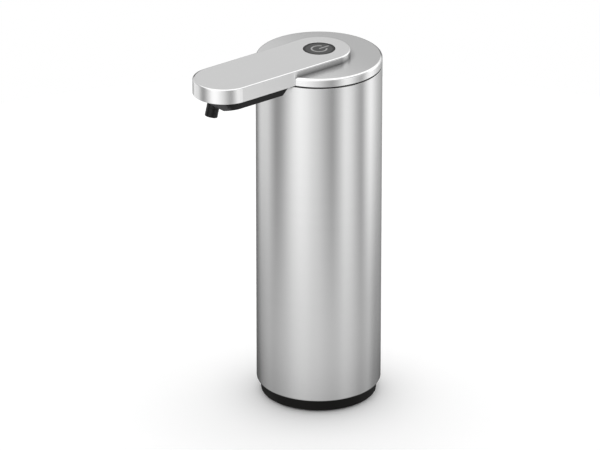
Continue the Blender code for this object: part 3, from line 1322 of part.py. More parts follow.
def pump_body():
    """Pump housing: gear chamber, inlet spigot below and outlet spigot in front."""
    ends = ((DRIVE_X, TRAIN_Y), (IDLER_X, TRAIN_Y))
    outline = slot(*ends, PUMP_OUTLINE, PIECE_STEPS)
    body = plate("pump_body", [outline], PUMP_BOTTOM, PUMP_TOP)
    low = PUMP_BOTTOM + FUSE_DEPTH
    high = PUMP_TOP - FUSE_DEPTH
    boss = HOSE_RADIUS + SEAT_GAP
    web = block(
        "outlet_web",
        (PORT_X - HOSE_RADIUS, OUTLET_Y, low + FUSE_DEPTH),
        (PORT_X + HOSE_RADIUS, TRAIN_Y - CHAMBER_RADIUS - PUMP_WALL / 2, high - FUSE_DEPTH),
    )
    join(body, web)
    join(body, rod("outlet_boss", PORT_X, OUTLET_Y, boss, low, high))
    spigot_top = PUMP_TOP + SPIGOT_LENGTH
    spigot_low = high - 2 * FUSE_DEPTH
    join(body, rod("outlet_spigot", PORT_X, OUTLET_Y, SPIGOT_RADIUS, spigot_low, spigot_top))
    inlet_low = CASE_BOTTOM - SEAT_GAP - TUBE_GRIP
    inlet = TUBE_BORE - RUN_GAP
    join(body, rod("inlet_spigot", PORT_X, INLET_Y, inlet, inlet_low, low))
    above = PUMP_TOP + CUT_OVERRUN
    floor = PUMP_CHAMBER_FLOOR
    bearing = PUMP_SHAFT_RADIUS + RUN_GAP
    for index, (x, y) in enumerate(ends):
        drill(body, f"room_{index}", x, y, CHAMBER_RADIUS, floor, above, CHAMBER_STEPS)
        low = floor - PUMP_BEARING_DEPTH
        drill(body, f"bearing_{index}", x, y, bearing, low, above, PIECE_STEPS)
    level = floor + PUMP_FLOOR
    channel = lying_rod("outlet_channel", level, SPIGOT_BORE, OUTLET_Y, TRAIN_Y, PORT_X)
    cut(body, channel)
    drill(body, "outlet_bore", PORT_X, OUTLET_Y, SPIGOT_BORE, level, spigot_top + CUT_OVERRUN)
    drill(
        body, "inlet_bore", PORT_X, INLET_Y, PORT_RADIUS, inlet_low - CUT_OVERRUN,
        PUMP_CHAMBER_FLOOR + FUSE_DEPTH,
    )
    keep(body, "grey_plastic")


def pump_cover():
    """Lid of the gear chamber, with a shaft hole and a pillar under the gear plate."""
    ends = ((DRIVE_X, TRAIN_Y), (IDLER_X, TRAIN_Y))
    outlines = [
        slot(*ends, PUMP_OUTLINE, PIECE_STEPS),
        circle(DRIVE_X, TRAIN_Y, PUMP_SHAFT_RADIUS + RUN_GAP),
    ]
    cover = plate("pump_cover", outlines, PUMP_COVER_BOTTOM, PUMP_COVER_TOP)
    low = PUMP_COVER_TOP - FUSE_DEPTH
    top = GEAR_PLATE_BOTTOM - SEAT_GAP
    join(cover, rod("cover_pillar", PILLAR_X, TRAIN_Y, POST_RADIUS, low, top, SMALL_STEPS))
    keep(cover, "grey_plastic")


def suction_tube():
    """Tube from the pump's inlet down to the bottom of the tank."""
    high = CASE_BOTTOM - SEAT_GAP
    low = STRAINER_BOTTOM + STRAINER_FLOOR + STRAINER_CATCH
    profile = [(TUBE_RADIUS, high), (TUBE_RADIUS, low), (TUBE_BORE, low), (TUBE_BORE, high)]
    keep(turned("suction_tube", profile, PORT_X, INLET_Y), "clear_silicone")


def inlet_strainer():
    """Slotted cup on the lower end of the suction tube."""
    bore = TUBE_RADIUS + RUN_GAP
    outer = bore + STRAINER_WALL
    floor = STRAINER_BOTTOM + STRAINER_FLOOR
    top = STRAINER_BOTTOM + STRAINER_HEIGHT
    profile = [
        (0, floor),
        (bore, floor),
        (bore, top),
        (outer, top),
        (outer, STRAINER_BOTTOM),
        (0, STRAINER_BOTTOM),
    ]
    strainer = turned("inlet_strainer", profile, PORT_X, INLET_Y)
    reach = outer + CUT_OVERRUN
    half = STRAINER_SLOT / 2
    slot_low = floor + RUN_GAP
    slot_top = floor + STRAINER_CATCH - SEAT_GAP
    for index, (wide, deep) in enumerate(((reach, half), (half, reach))):
        window = block(
            f"strainer_slot_{index}",
            (PORT_X - wide, INLET_Y - deep, slot_low),
            (PORT_X + wide, INLET_Y + deep, slot_top),
        )
        cut(strainer, window)
    keep(strainer, "grey_plastic")


def main_board():
    """Round control board on the inner plate, with a chip at its rear."""
    outlines = [circle(0, 0, BOARD_RADIUS, INNER_STEPS)]
    outlines += [circle(*place, TAIL_HOLE, SCREW_STEPS) for place in tail_places()]
    board = plate("main_board", outlines, BOARD_BOTTOM, BOARD_TOP)
    chip = block(
        "board_chip",
        (-CHIP_SIDE / 2, SWITCH_SIDE / 2 + CHIP_HEIGHT, BOARD_TOP - FUSE_DEPTH),
        (CHIP_SIDE / 2, SWITCH_SIDE / 2 + CHIP_HEIGHT + CHIP_SIDE, BOARD_TOP + CHIP_HEIGHT),
    )
    join(board, chip)
    keep(board, "board_green")


def tact_switch():
    """Switch that the button's stem presses."""
    half = SWITCH_SIDE / 2
    body_top = SWITCH_BOTTOM + SWITCH_BODY_HEIGHT
    low = body_top - FUSE_DEPTH
    switch = block("tact_switch", (-half, -half, SWITCH_BOTTOM), (half, half, body_top))
    join(switch, rod("switch_plunger", 0, 0, SWITCH_PLUNGER_RADIUS, low, SWITCH_TOP, SMALL_STEPS))
    keep(switch, "black_plastic")


def power_button():
    """Round button with a flange that keeps it in the arm and a stem to the switch."""
    flange = BUTTON_RADIUS + BUTTON_FLANGE
    profile = [
        (0, BUTTON_TOP),
        (BUTTON_RADIUS - BUTTON_EDGE, BUTTON_TOP),
        (BUTTON_RADIUS, BUTTON_TOP - BUTTON_EDGE),
        (BUTTON_RADIUS, BUTTON_FLANGE_TOP),
        (flange, BUTTON_FLANGE_TOP),
        (flange, BUTTON_FLANGE_BOTTOM),
        (BUTTON_STEM_RADIUS, BUTTON_FLANGE_BOTTOM),
        (BUTTON_STEM_RADIUS, STEM_BOTTOM),
        (0, STEM_BOTTOM),
    ]
    keep(turned("power_button", profile, steps=2 * ARM_STEPS), "button_plastic")


def button_spring():
    """Coil spring that returns the button; it prints the gap between its turns."""
    low = FRAME_TOP + SEAT_GAP + SPRING_WIRE
    high = BUTTON_FLANGE_BOTTOM - SEAT_GAP - SPRING_WIRE
    count = SPRING_TURNS * SPRING_TURN_POINTS
    points = []
    for i in range(count + 1):
        angle = 2 * math.pi * i / SPRING_TURN_POINTS
        height = low + (high - low) * i / count
        points.append((SPRING_RADIUS * math.cos(angle), SPRING_RADIUS * math.sin(angle), height))
    keep(tube("button_spring", points, SPRING_WIRE, 1), "plated_steel")
    pitch = (high - low) / SPRING_TURNS
    print(f"button_spring gap between turns: {(pitch - 2 * SPRING_WIRE) / MM:.2f} mm")


def gather(name, place, members):
    """Parent the pieces of one moving body to an empty on its joint's axis."""
    anchor = bpy.data.objects.new(name, None)
    anchor.location = place
    parts.objects.link(anchor)
    bpy.context.view_layer.update()
    for member in members:
        item = bpy.data.objects[member]
        item.parent = anchor
        item.matrix_parent_inverse = anchor.matrix_world.inverted()


def shade(item):
    """Shade a piece smooth, except across its sharp edges."""
    item.data.shade_smooth()
    item.data.set_sharp_from_angle(angle=SHARP_ANGLE)


clear_scene()
parts = new_collection("automatic_soap_dispenser")
cutters = new_collection("automatic_soap_dispenser_cutters")

outer_shell()
soap_tank()
base_cup()
foot_pad()
base_screws()

cap()
arm_cover()
arm_tray()
tray_screws()
arm_screws()
sensor_window()
infrared_pair()
sensor_board()
nozzle()
nozzle_valve()
outlet_hose()
sensor_cable()

head_frame()
case_screws()
rim_seal()
pump_case()
battery_door()
door_seal()
batteries()
battery_contacts()
inner_plate()
motor()
gear_plate()
pump_body()
pump_cover()
suction_tube()
inlet_strainer()
main_board()
tact_switch()

power_button()
button_spring()
motor_pinion()
drive_gear()
pump_gears()
pump_shafts()

for piece in parts.objects:
    shade(piece)

gather("button_press", (0, 0, BUTTON_TOP), ["power_button"])
gather("motor_spin", (MOTOR_X, TRAIN_Y, GEAR_TOP), ["motor_pinion"])
gather(
    "pump_drive", (DRIVE_X, TRAIN_Y, GEAR_TOP), ["drive_shaft", "drive_gear", "pump_gear_driver"]
)
gather("pump_idler", (IDLER_X, TRAIN_Y, PUMP_TOP), ["pump_gear_idler"])
gather(
    "battery_door_slide", (0, CASE_BORE / 2, DOOR_BOTTOM),
    ["battery_door", "door_seal", "door_contact_left", "door_contact_right"],
)
standing = ["outer_shell", "soap_tank", "base_cup", "foot_pad"]
standing += [f"base_screw_{index + 1}" for index in range(len(BASE_SCREW_ANGLES))]
loose = [piece.name for piece in parts.objects if piece.parent is None]
gather("head_lift", (0, 0, CASE_TOP), [name for name in loose if name not in standing])
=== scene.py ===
import json
import math

import bmesh
import bpy
from mathutils import Matrix, Vector

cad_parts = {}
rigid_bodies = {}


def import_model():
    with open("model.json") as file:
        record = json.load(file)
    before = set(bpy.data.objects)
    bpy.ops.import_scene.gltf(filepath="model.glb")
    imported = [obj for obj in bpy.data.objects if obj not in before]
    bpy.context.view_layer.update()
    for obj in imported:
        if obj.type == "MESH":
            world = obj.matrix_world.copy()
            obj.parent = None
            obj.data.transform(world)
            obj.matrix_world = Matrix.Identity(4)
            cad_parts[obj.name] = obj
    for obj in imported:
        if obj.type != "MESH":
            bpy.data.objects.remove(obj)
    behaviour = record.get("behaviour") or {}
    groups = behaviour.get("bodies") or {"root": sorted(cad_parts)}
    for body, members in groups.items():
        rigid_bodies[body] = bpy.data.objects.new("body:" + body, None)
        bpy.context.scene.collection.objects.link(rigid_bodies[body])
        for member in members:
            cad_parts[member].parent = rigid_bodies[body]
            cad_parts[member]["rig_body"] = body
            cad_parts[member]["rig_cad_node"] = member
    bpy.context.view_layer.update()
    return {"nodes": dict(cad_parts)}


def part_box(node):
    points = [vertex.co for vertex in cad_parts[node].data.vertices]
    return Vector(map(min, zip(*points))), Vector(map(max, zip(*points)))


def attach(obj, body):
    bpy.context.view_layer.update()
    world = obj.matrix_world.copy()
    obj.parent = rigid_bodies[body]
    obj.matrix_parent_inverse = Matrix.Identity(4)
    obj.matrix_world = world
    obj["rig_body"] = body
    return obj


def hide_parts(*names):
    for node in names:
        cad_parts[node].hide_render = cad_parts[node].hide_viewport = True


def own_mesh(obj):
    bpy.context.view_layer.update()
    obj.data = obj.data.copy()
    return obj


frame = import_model()


# Foot pad
# A disc of black rubber, stamped out of sheet and pressed into the recess under the base.
# It is all that touches the shelf.
MM = 0.001
RUBBER_BLACK = (0.017, 0.017, 0.017)
MOTTLE_GRAIN = 90
UNEVEN_GLOSS = 0.10
GRAIN_GLOSS = 0.08


class Wire:
    """A socket of a material. Sums and products of wires add Math nodes."""

    def __init__(self, socket):
        self.socket = socket

    def node(self, kind, settings, sockets, output=0):
        """Add a node: its settings first, then the values or wires of its sockets."""
        tree = self.socket.id_data
        made = tree.nodes.new(kind)
        for name, value in settings.items():
            if name == "stops":
                ramp = made.color_ramp
                for place, level in value[1:-1]:
                    ramp.elements.new(place).color = (level, level, level, 1)
                ends = (ramp.elements[0], value[0]), (ramp.elements[-1], value[-1])
                for stop, (place, level) in ends:
                    stop.position = place
                    stop.color = (level, level, level, 1)
            else:
                setattr(made, name, value)
        for name, value in sockets.items():
            if isinstance(value, Wire):
                tree.links.new(value.socket, made.inputs[name])
            else:
                made.inputs[name].default_value = value
        return Wire(made.outputs[output])

    def maths(self, operation, *values):
        """Add a Math node on this wire and other wires or numbers."""
        sockets = dict(enumerate((self,) + values))
        return self.node("ShaderNodeMath", {"operation": operation}, sockets)

    def __add__(self, other):
        return self.maths("ADD", other)

    __radd__ = __add__

    def __mul__(self, other):
        return self.maths("MULTIPLY", other)

    __rmul__ = __mul__

    def __sub__(self, other):
        return self.maths("SUBTRACT", other)

    def __rsub__(self, other):
        return self * -1 + other

    def noise(self, stretch, detail=2.0):
        """Soft noise from 0 to 1, with so many grains to the metre along each axis."""
        spread = self.node("ShaderNodeMapping", {}, {"Vector": self, "Scale": stretch})
        return spread.node(
            "ShaderNodeTexNoise", {}, {"Vector": spread, "Scale": 1.0, "Detail": detail}
        )

    def blend(self, first, second):
        """Go from the first colour to the second as this wire goes from 0 to 1."""
        sockets = {0: self, 6: first, 7: second}
        return self.node("ShaderNodeMix", {"data_type": "RGBA"}, sockets, 2)

    def bump(self, depth):
        """Relief of so many metres at a height of 1."""
        sockets = {"Height": self, "Distance": depth, "Strength": 1.0}
        return self.node("ShaderNodeBump", {}, sockets)

    def ease(self, low, high):
        """Go softly from 0 to 1 as this wire goes from one value to the other."""
        sockets = {"Value": self, "From Min": low, "From Max": high}
        return self.node("ShaderNodeMapRange", {"interpolation_type": "SMOOTHSTEP"}, sockets)

    def part(self, axis):
        """One of the three numbers of this vector."""
        return self.node("ShaderNodeSeparateXYZ", {}, {"Vector": self}, axis)

    def radius(self, other):
        """How far out a place is whose two sideways coordinates are these wires."""
        return (self.maths("POWER", 2) + other.maths("POWER", 2)).maths("SQRT")

    def feed(self, shader, name):
        """Lead this wire into one of the shader's sockets."""
        self.socket.id_data.links.new(self.socket, shader.inputs[name])


def start_finish(name, roughness, metallic=0.0, **even):
    """Start a material; give it, its shader and the wire of places on the piece."""
    material = bpy.data.materials.new(name)
    material.use_nodes = True
    nodes = material.node_tree.nodes
    shader = nodes["Principled BSDF"]
    shader.inputs["Roughness"].default_value = roughness
    shader.inputs["Metallic"].default_value = metallic
    for socket, value in even.items():
        shader.inputs[socket.replace("_", " ")].default_value = value
    return material, shader, Wire(nodes.new("ShaderNodeTexCoord").outputs["Object"])


def shade_of(colour, share):
    """A colour made lighter or darker, with full opacity."""
    return tuple(channel * share for channel in colour) + (1,)


def moulded(name, colour, roughness, grain, relief, mottle=0.12, sheen=0.5, patch=None):
    """Moulded plastic or rubber: a fine eroded grain and a slightly uneven gloss."""
    material, shader, place = start_finish(name, roughness, Specular_IOR_Level=sheen)
    fine = place.noise((grain, grain, grain), 3.0)
    broad = place.noise((MOTTLE_GRAIN, MOTTLE_GRAIN, MOTTLE_GRAIN))
    darker, lighter = shade_of(colour, 1 - mottle), shade_of(colour, 1 + mottle)
    tone = (broad * 0.6 + fine * 0.4).blend(darker, lighter)
    if patch:
        tone = patch(place, tone)
    tone.feed(shader, "Base Color")
    even = roughness - (UNEVEN_GLOSS + GRAIN_GLOSS) / 2
    (broad * UNEVEN_GLOSS + fine * GRAIN_GLOSS + even).feed(shader, "Roughness")
    fine.bump(relief).feed(shader, "Normal")
    return material


def dress(material, *nodes):
    """Give CAD nodes that stay in view a material."""
    for node in nodes:
        for slot in frame["nodes"][node].material_slots:
            slot.material = material


rubber = moulded("nitrile_rubber", RUBBER_BLACK, roughness=0.78, grain=2600, relief=0.03 * MM)
dress(rubber, "foot_pad")


# Base
# The black ring below the sleeve is the skirt of a moulded ABS cup that plugs into the
# sleeve's rolled lower edge; the foot pad's recess and three screw wells are underneath.
BASE_RADIUS = 30.2 * MM
BASE_TOP = 7.0 * MM
BASE_FOOT = 0.6 * MM
BASE_RECESS_RADIUS = 27.6 * MM
BASE_RECESS_TOP = 1.5 * MM
BASE_PLUG_RADIUS = 31.0 * MM
BASE_PLUG_TOP = 9.0 * MM
BASE_FLOOR_TOP = 4.5 * MM
BASE_WALL = 2.0 * MM
BASE_FILLET = 0.8 * MM
CRISP = 0.1 * MM
BROKEN = 0.2 * MM
EASED = 0.3 * MM
ROUNDED = 0.5 * MM
SCREW_CIRCLE = 18.0 * MM
SCREW_PLACES = [
    (SCREW_CIRCLE * math.cos(math.radians(angle)), SCREW_CIRCLE * math.sin(math.radians(angle)))
    for angle in (30, 150, 270)
]
WELL_RADIUS = 2.5 * MM
WELL_TOP = 3.2 * MM
SCREW_HOLE = 1.25 * MM
BASE_BLACK = (0.0062, 0.0058, 0.0054)
WELD = 0.002 * MM
ROUND_STEPS = 144


def soften(corners, points=4):
    """Round a profile's corners; each corner is a radius, a height and its own round."""
    path = []
    for index, (radius, height, curve) in enumerate(corners):
        corner = Vector((radius, height))
        if curve == 0:
            path.append(tuple(corner))
            continue
        before = (Vector(corners[index - 1][:2]) - corner).normalized()
        after = (Vector(corners[(index + 1) % len(corners)][:2]) - corner).normalized()
        half = before.angle(after) / 2
        centre = corner + (before + after).normalized() * (curve / math.sin(half))
        start = (corner + before * (curve / math.tan(half)) - centre).normalized()
        end = (corner + after * (curve / math.tan(half)) - centre).normalized()
        for step in range(points + 1):
            path.append(tuple(centre + start.slerp(end, step / points) * curve))
    return path


def new_piece(name):
    """Name the primitive just added, set its place into its mesh and edit all of it."""
    piece = bpy.context.object
    piece.name = name
    bpy.ops.object.transform_apply(location=True, rotation=True, scale=True)
    bpy.ops.object.mode_set(mode="EDIT")
    bpy.ops.mesh.select_mode(type="VERT")
    bpy.ops.mesh.select_all(action="SELECT")
    return piece


def lathe(name, path, closed=False, centre=(0, 0), steps=ROUND_STEPS, sweep=math.tau):
    """Turn a path of radii and heights about an upright line, as on a lathe."""
    bpy.ops.object.select_all(action="DESELECT")
    radius, height = path[0]
    bpy.ops.mesh.primitive_plane_add(
        size=MM, location=(centre[0] + radius, centre[1], height)
    )
    piece = new_piece(name)
    bpy.ops.mesh.merge(type="CENTER")
    stations = path + path[:1] if closed else path
    for here, there in zip(stations, stations[1:]):
        step = (there[0] - here[0], 0, there[1] - here[1])
        bpy.ops.mesh.extrude_region_move(TRANSFORM_OT_translate={"value": step})
    bpy.ops.mesh.select_all(action="SELECT")
    bpy.ops.mesh.remove_doubles(threshold=WELD)
    bpy.ops.mesh.spin(steps=steps, angle=sweep, center=(*centre, 0), axis=(0, 0, 1))
    bpy.ops.mesh.select_all(action="SELECT")
    bpy.ops.mesh.remove_doubles(threshold=WELD)
    bpy.ops.mesh.normals_make_consistent(inside=False)
    bpy.ops.object.mode_set(mode="OBJECT")
    return piece


def cut(piece, tool, operation="DIFFERENCE"):
    """Cut a tool out of a piece, or join it on, and throw the tool away."""
    modifier = piece.modifiers.new("Cut", "BOOLEAN")
    modifier.operation = operation
    modifier.solver = "EXACT"
    modifier.object = tool
    bpy.context.view_layer.objects.active = piece
    bpy.ops.object.modifier_apply(modifier=modifier.name)
    bpy.data.objects.remove(tool)


def drill(x, y, radius, low, high, steps=32):
    """A round drill between two heights, as a tool for a cut."""
    bpy.ops.object.select_all(action="DESELECT")
    bpy.ops.mesh.primitive_cylinder_add(
        vertices=steps, radius=radius, depth=high - low, location=(x, y, (low + high) / 2)
    )
    tool = new_piece("drill")
    bpy.ops.object.mode_set(mode="OBJECT")
    return tool


def show(piece, material, body, node, crease=30):
    """Shade a finished piece, give it its material and put it in its CAD node's place."""
    bpy.ops.object.select_all(action="DESELECT")
    piece.select_set(True)
    bpy.context.view_layer.objects.active = piece
    bpy.ops.object.shade_smooth_by_angle(angle=math.radians(crease))
    weighted = piece.modifiers.new("Even shading", "WEIGHTED_NORMAL")
    weighted.keep_sharp = True
    bpy.ops.object.modifier_apply(modifier=weighted.name)
    piece.data.materials.clear()
    piece.data.materials.append(material)
    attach(piece, body)
    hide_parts(node)


base = lathe("base_ring", soften([
    (0, BASE_FLOOR_TOP, 0),
    (BASE_RADIUS - BASE_WALL, BASE_FLOOR_TOP, BASE_FILLET),
    (BASE_RADIUS - BASE_WALL, BASE_PLUG_TOP, EASED),
    (BASE_PLUG_RADIUS, BASE_PLUG_TOP, ROUNDED),
    (BASE_PLUG_RADIUS, BASE_TOP, CRISP),
    (BASE_RADIUS, BASE_TOP, EASED),
    (BASE_RADIUS, BASE_FOOT, ROUNDED),
    (BASE_RECESS_RADIUS, BASE_FOOT, BROKEN),
    (BASE_RECESS_RADIUS, BASE_RECESS_TOP, BROKEN),
    (0, BASE_RECESS_TOP, 0),
]))
for x, y in SCREW_PLACES:
    cut(base, drill(x, y, WELL_RADIUS, BASE_FOOT, WELL_TOP))
    cut(base, drill(x, y, SCREW_HOLE, BASE_FOOT, BASE_PLUG_TOP))
base_black = moulded(
    "base_black", BASE_BLACK, roughness=0.42, grain=3400, relief=0.012 * MM, sheen=0.14
)
show(base, base_black, "body", "base_cup")


# Base screws and the head's screws
# Pan-head screws of zinc-plated steel, cold-headed and rolled. All but the two under the
# tray are hidden when the dispenser is closed.
ZINC_GREY = (0.55, 0.56, 0.58)
DRAWN_GLOSS = 0.12
SPOT_GLOSS = 0.10


def plated(name, colour, roughness):
    """Zinc or nickel plating with a faint drawn grain and a few dull spots."""
    material, shader, place = start_finish(name, roughness, 1.0)
    grain = place.noise((900, 900, 5200), 3.0)
    spots = place.noise((420, 420, 420), 1.0)
    spots.blend(shade_of(colour, 0.88), shade_of(colour, 1.08)).feed(shader, "Base Color")
    even = roughness - (DRAWN_GLOSS + SPOT_GLOSS) / 2
    (grain * DRAWN_GLOSS + spots * SPOT_GLOSS + even).feed(shader, "Roughness")
    grain.bump(0.008 * MM).feed(shader, "Normal")
    return material


zinc = plated("zinc_plate", ZINC_GREY, roughness=0.30)
dress(zinc, "base_screw_1", "base_screw_2", "base_screw_3")
dress(zinc, "arm_screw_1", "arm_screw_2", "case_screw_1", "case_screw_2", "case_screw_3")


# Soap tank
# A blow-moulded polypropylene liner, milky and slightly see-through, that slides into the
# sleeve and holds the soap; its mouth is flared to lead the head in.
TANK_RADIUS = 31.4 * MM
TANK_BORE = 29.6 * MM
TANK_BOTTOM = 9.3 * MM
TANK_FLOOR_TOP = 11.3 * MM
TANK_TOP = 182.9 * MM
TANK_FILLET = 2.0 * MM
TANK_HEEL = 1.0 * MM
MOUTH_DEPTH = 1.6 * MM
MOUTH_FLARE = 0.6 * MM
MOUTH_ROUND = 1.0 * MM
BOSS_RADIUS = 3.4 * MM
BOSS_FOOT = BASE_FLOOR_TOP + 0.3 * MM
BOSS_SINK = 0.4 * MM
HOLE_SKIN = 0.3 * MM
MILKY_WHITE = (0.74, 0.76, 0.77)

tank = lathe("tank_liner", soften([
    (0, TANK_FLOOR_TOP, 0),
    (TANK_BORE, TANK_FLOOR_TOP, TANK_FILLET),
    (TANK_BORE, TANK_TOP - MOUTH_DEPTH, MOUTH_ROUND),
    (TANK_BORE + MOUTH_FLARE, TANK_TOP, BROKEN),
    (TANK_RADIUS, TANK_TOP, EASED),
    (TANK_RADIUS, TANK_BOTTOM, TANK_HEEL),
    (0, TANK_BOTTOM, 0),
]))
for x, y in SCREW_PLACES:
    cut(tank, drill(x, y, BOSS_RADIUS, BOSS_FOOT, TANK_BOTTOM + BOSS_SINK), "UNION")
    cut(tank, drill(x, y, SCREW_HOLE, BASE_FLOOR_TOP, TANK_BOTTOM - HOLE_SKIN))
milky = moulded(
    "milky_polypropylene", MILKY_WHITE, roughness=0.30, grain=1200, relief=0.02 * MM, mottle=0.03
)
show(tank, milky, "body", "soap_tank")


# Sleeve
# A tube of stainless steel, 0.8 mm thick, brushed round and round on a belt. Its lower
# edge is rolled in above the base and its upper edge is only deburred.
SLEEVE_RADIUS = 32.5 * MM
SLEEVE_BORE = 31.7 * MM
SLEEVE_FOOT = 6.8 * MM
SLEEVE_TOP = 183.2 * MM
SLEEVE_SHEET = 0.8 * MM
SLEEVE_ROLL = 1.2 * MM
SLEEVE_ROLL_TOP = 2.0 * MM
SLEEVE_DEBURR = 0.25 * MM
SLEEVE_STEEL = (0.63, 0.63, 0.63)
BLOTCH_GRAIN = 28
BRUSHED_DEPTH = 0.0012 * MM

sleeve = lathe("steel_sleeve", soften([
    (SLEEVE_RADIUS, SLEEVE_TOP, SLEEVE_DEBURR),
    (SLEEVE_RADIUS, SLEEVE_FOOT, SLEEVE_ROLL),
    (SLEEVE_RADIUS - SLEEVE_ROLL, SLEEVE_FOOT, 0),
    (SLEEVE_RADIUS - SLEEVE_ROLL, SLEEVE_FOOT + SLEEVE_SHEET, 0),
    (SLEEVE_BORE, SLEEVE_FOOT + SLEEVE_ROLL_TOP, 0),
    (SLEEVE_BORE, SLEEVE_TOP, CRISP),
], 6), closed=True)


def brushed(name, steel, fine_lines, long_lines, patch=None, **even):
    """Brushed stainless steel; the lines run along the axes with few grains to the metre."""
    material, shader, place = start_finish(name, 0.27, 1.0, **even)
    fine = place.noise(fine_lines, 2.0)
    lines = place.noise(long_lines, 1.0)
    blotch = place.noise((BLOTCH_GRAIN, BLOTCH_GRAIN, BLOTCH_GRAIN), 2.0)
    tone = fine * 0.4 + lines * 0.4 + blotch * 0.2
    colour = tone.blend(shade_of(steel, 0.97), shade_of(steel, 1.03))
    if patch:
        colour = patch(place, colour)
    colour.feed(shader, "Base Color")
    (fine * 0.06 + blotch * 0.04 + 0.19).feed(shader, "Roughness")
    (fine * 0.5 + lines * 0.5).bump(BRUSHED_DEPTH).feed(shader, "Normal")
    return material


def turned_steel(name, steel, anisotropy, patch=None):
    """Steel that was brushed round and round while it turned about the upright axis."""
    return brushed(
        name, steel, fine_lines=(30, 30, 2600), long_lines=(12, 12, 700), patch=patch,
        Anisotropic=anisotropy, Anisotropic_Rotation=0.25,
    )


sleeve_steel = turned_steel("sleeve_steel", SLEEVE_STEEL, anisotropy=0.75)
show(sleeve, sleeve_steel, "body", "outer_shell")


# Pump case, battery door and their seals
# The case hangs in the tank under the head: grey moulded ABS, with a half-round door that
# closes the battery bay from below on a rubber seal.
CASE_GREY = (0.33, 0.34, 0.35)


def smooth_copy(node, name):
    """Copy a CAD node's mesh, welded, so that its round faces can shade smoothly."""
    piece = frame["nodes"][node].copy()
    piece.data = piece.data.copy()
    piece.name = name
    piece.parent = None
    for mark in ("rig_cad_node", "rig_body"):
        del piece[mark]
    bpy.context.scene.collection.objects.link(piece)
    bpy.ops.object.select_all(action="DESELECT")
    piece.select_set(True)
    bpy.context.view_layer.objects.active = piece
    bpy.ops.object.mode_set(mode="EDIT")
    bpy.ops.mesh.select_all(action="SELECT")
    bpy.ops.mesh.remove_doubles(threshold=WELD)
    bpy.ops.object.mode_set(mode="OBJECT")
    return piece


case_grey = moulded(
    "case_grey", CASE_GREY, roughness=0.46, grain=2400, relief=0.015 * MM, mottle=0.05
)
case_cup = smooth_copy("pump_case", "case_cup")
show(case_cup, case_grey, "head", "pump_case")
bay_door = smooth_copy("battery_door", "bay_door")
show(bay_door, case_grey, "battery_door", "battery_door")
dress(rubber, "door_seal", "rim_seal")
dress(case_grey, "inner_plate", "gear_plate", "pump_cover")
pump_housing = smooth_copy("pump_body", "pump_housing")
show(pump_housing, case_grey, "head", "pump_body")


# Batteries and contacts
# Four AAA cells in plain two-tone jackets, and strips of nickel-plated spring steel.
CELL_MIDDLE = 150.75 * MM
JACKET_HALF = 21.0 * MM
BAND_RISE = 8 * MM
JACKET_BLUE = (0.035, 0.06, 0.16, 1)
JACKET_BROWN = (0.32, 0.19, 0.06, 1)
CELL_END_GREY = (0.6, 0.59, 0.56, 1)
NICKEL_GREY = (0.68, 0.65, 0.58)

jacket, jacket_shader, jacket_place = start_finish("cell_jacket_print", 0.32)
jacket_heights = jacket_place.part(2)
from_middle = (jacket_heights - CELL_MIDDLE).maths("ABSOLUTE")
end_metal = from_middle.maths("GREATER_THAN", JACKET_HALF)
band = jacket_heights.maths("GREATER_THAN", CELL_MIDDLE + BAND_RISE)
wear = jacket_place.noise((300, 300, 60))
jacket_colour = band.blend(JACKET_BLUE, JACKET_BROWN)
end_metal.blend(jacket_colour, CELL_END_GREY).feed(jacket_shader, "Base Color")
end_metal.feed(jacket_shader, "Metallic")
(wear * 0.16 + 0.24).feed(jacket_shader, "Roughness")
dress(jacket, "battery_1", "battery_2", "battery_3", "battery_4")
nickel = plated("nickel_plate", NICKEL_GREY, roughness=0.26)
dress(nickel, "contact_plus", "contact_bridge", "contact_minus")
dress(nickel, "door_contact_left", "door_contact_right")


# Motor and gears
# A small can motor drives acetal gears; the gear pump's shaft and pin are ground steel.
GROUND_GREY = (0.58, 0.58, 0.59)
ACETAL_WHITE = (0.82, 0.81, 0.76)

dress(zinc, "motor")
ground_steel = plated("ground_steel", GROUND_GREY, roughness=0.2)
dress(ground_steel, "drive_shaft", "idler_pin")
acetal = moulded(
    "acetal", ACETAL_WHITE, roughness=0.36, grain=1800, relief=0.01 * MM, mottle=0.03
)
dress(acetal, "motor_pinion", "drive_gear", "pump_gear_driver", "pump_gear_idler")


# Suction tube and strainer
# A silicone tube from the pump's inlet to the bottom of the tank, with a slotted cup of
# grey plastic pushed onto its end.
TUBE_X = 5.25 * MM
TUBE_Y = -3.8 * MM
TUBE_RADIUS = 3.1 * MM
TUBE_BORE = 2.1 * MM
HAZE_DEEP = (0.72, 0.73, 0.71, 1)
HAZE_PALE = (0.84, 0.85, 0.83, 1)

silicone, silicone_shader, silicone_place = start_finish(
    "clear_silicone_rubber", 0.3, IOR=1.41, Transmission_Weight=0.35
)
haze = silicone_place.noise((160, 160, 50))
haze.blend(HAZE_DEEP, HAZE_PALE).feed(silicone_shader, "Base Color")
(haze * 0.12 + 0.26).feed(silicone_shader, "Roughness")
haze.bump(0.02 * MM).feed(silicone_shader, "Normal")
tube_low, tube_high = (corner.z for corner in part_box("suction_tube"))
suction = lathe("suction_hose", soften([
    (TUBE_RADIUS, tube_high, EASED),
    (TUBE_RADIUS, tube_low, EASED),
    (TUBE_BORE, tube_low, 0),
    (TUBE_BORE, tube_high, 0),
]), closed=True, centre=(TUBE_X, TUBE_Y), steps=48)
show(suction, silicone, "head", "suction_tube")
strainer_cup = smooth_copy("inlet_strainer", "strainer_cup")
show(strainer_cup, case_grey, "head", "inlet_strainer")
dress(silicone, "outlet_hose", "nozzle_valve")


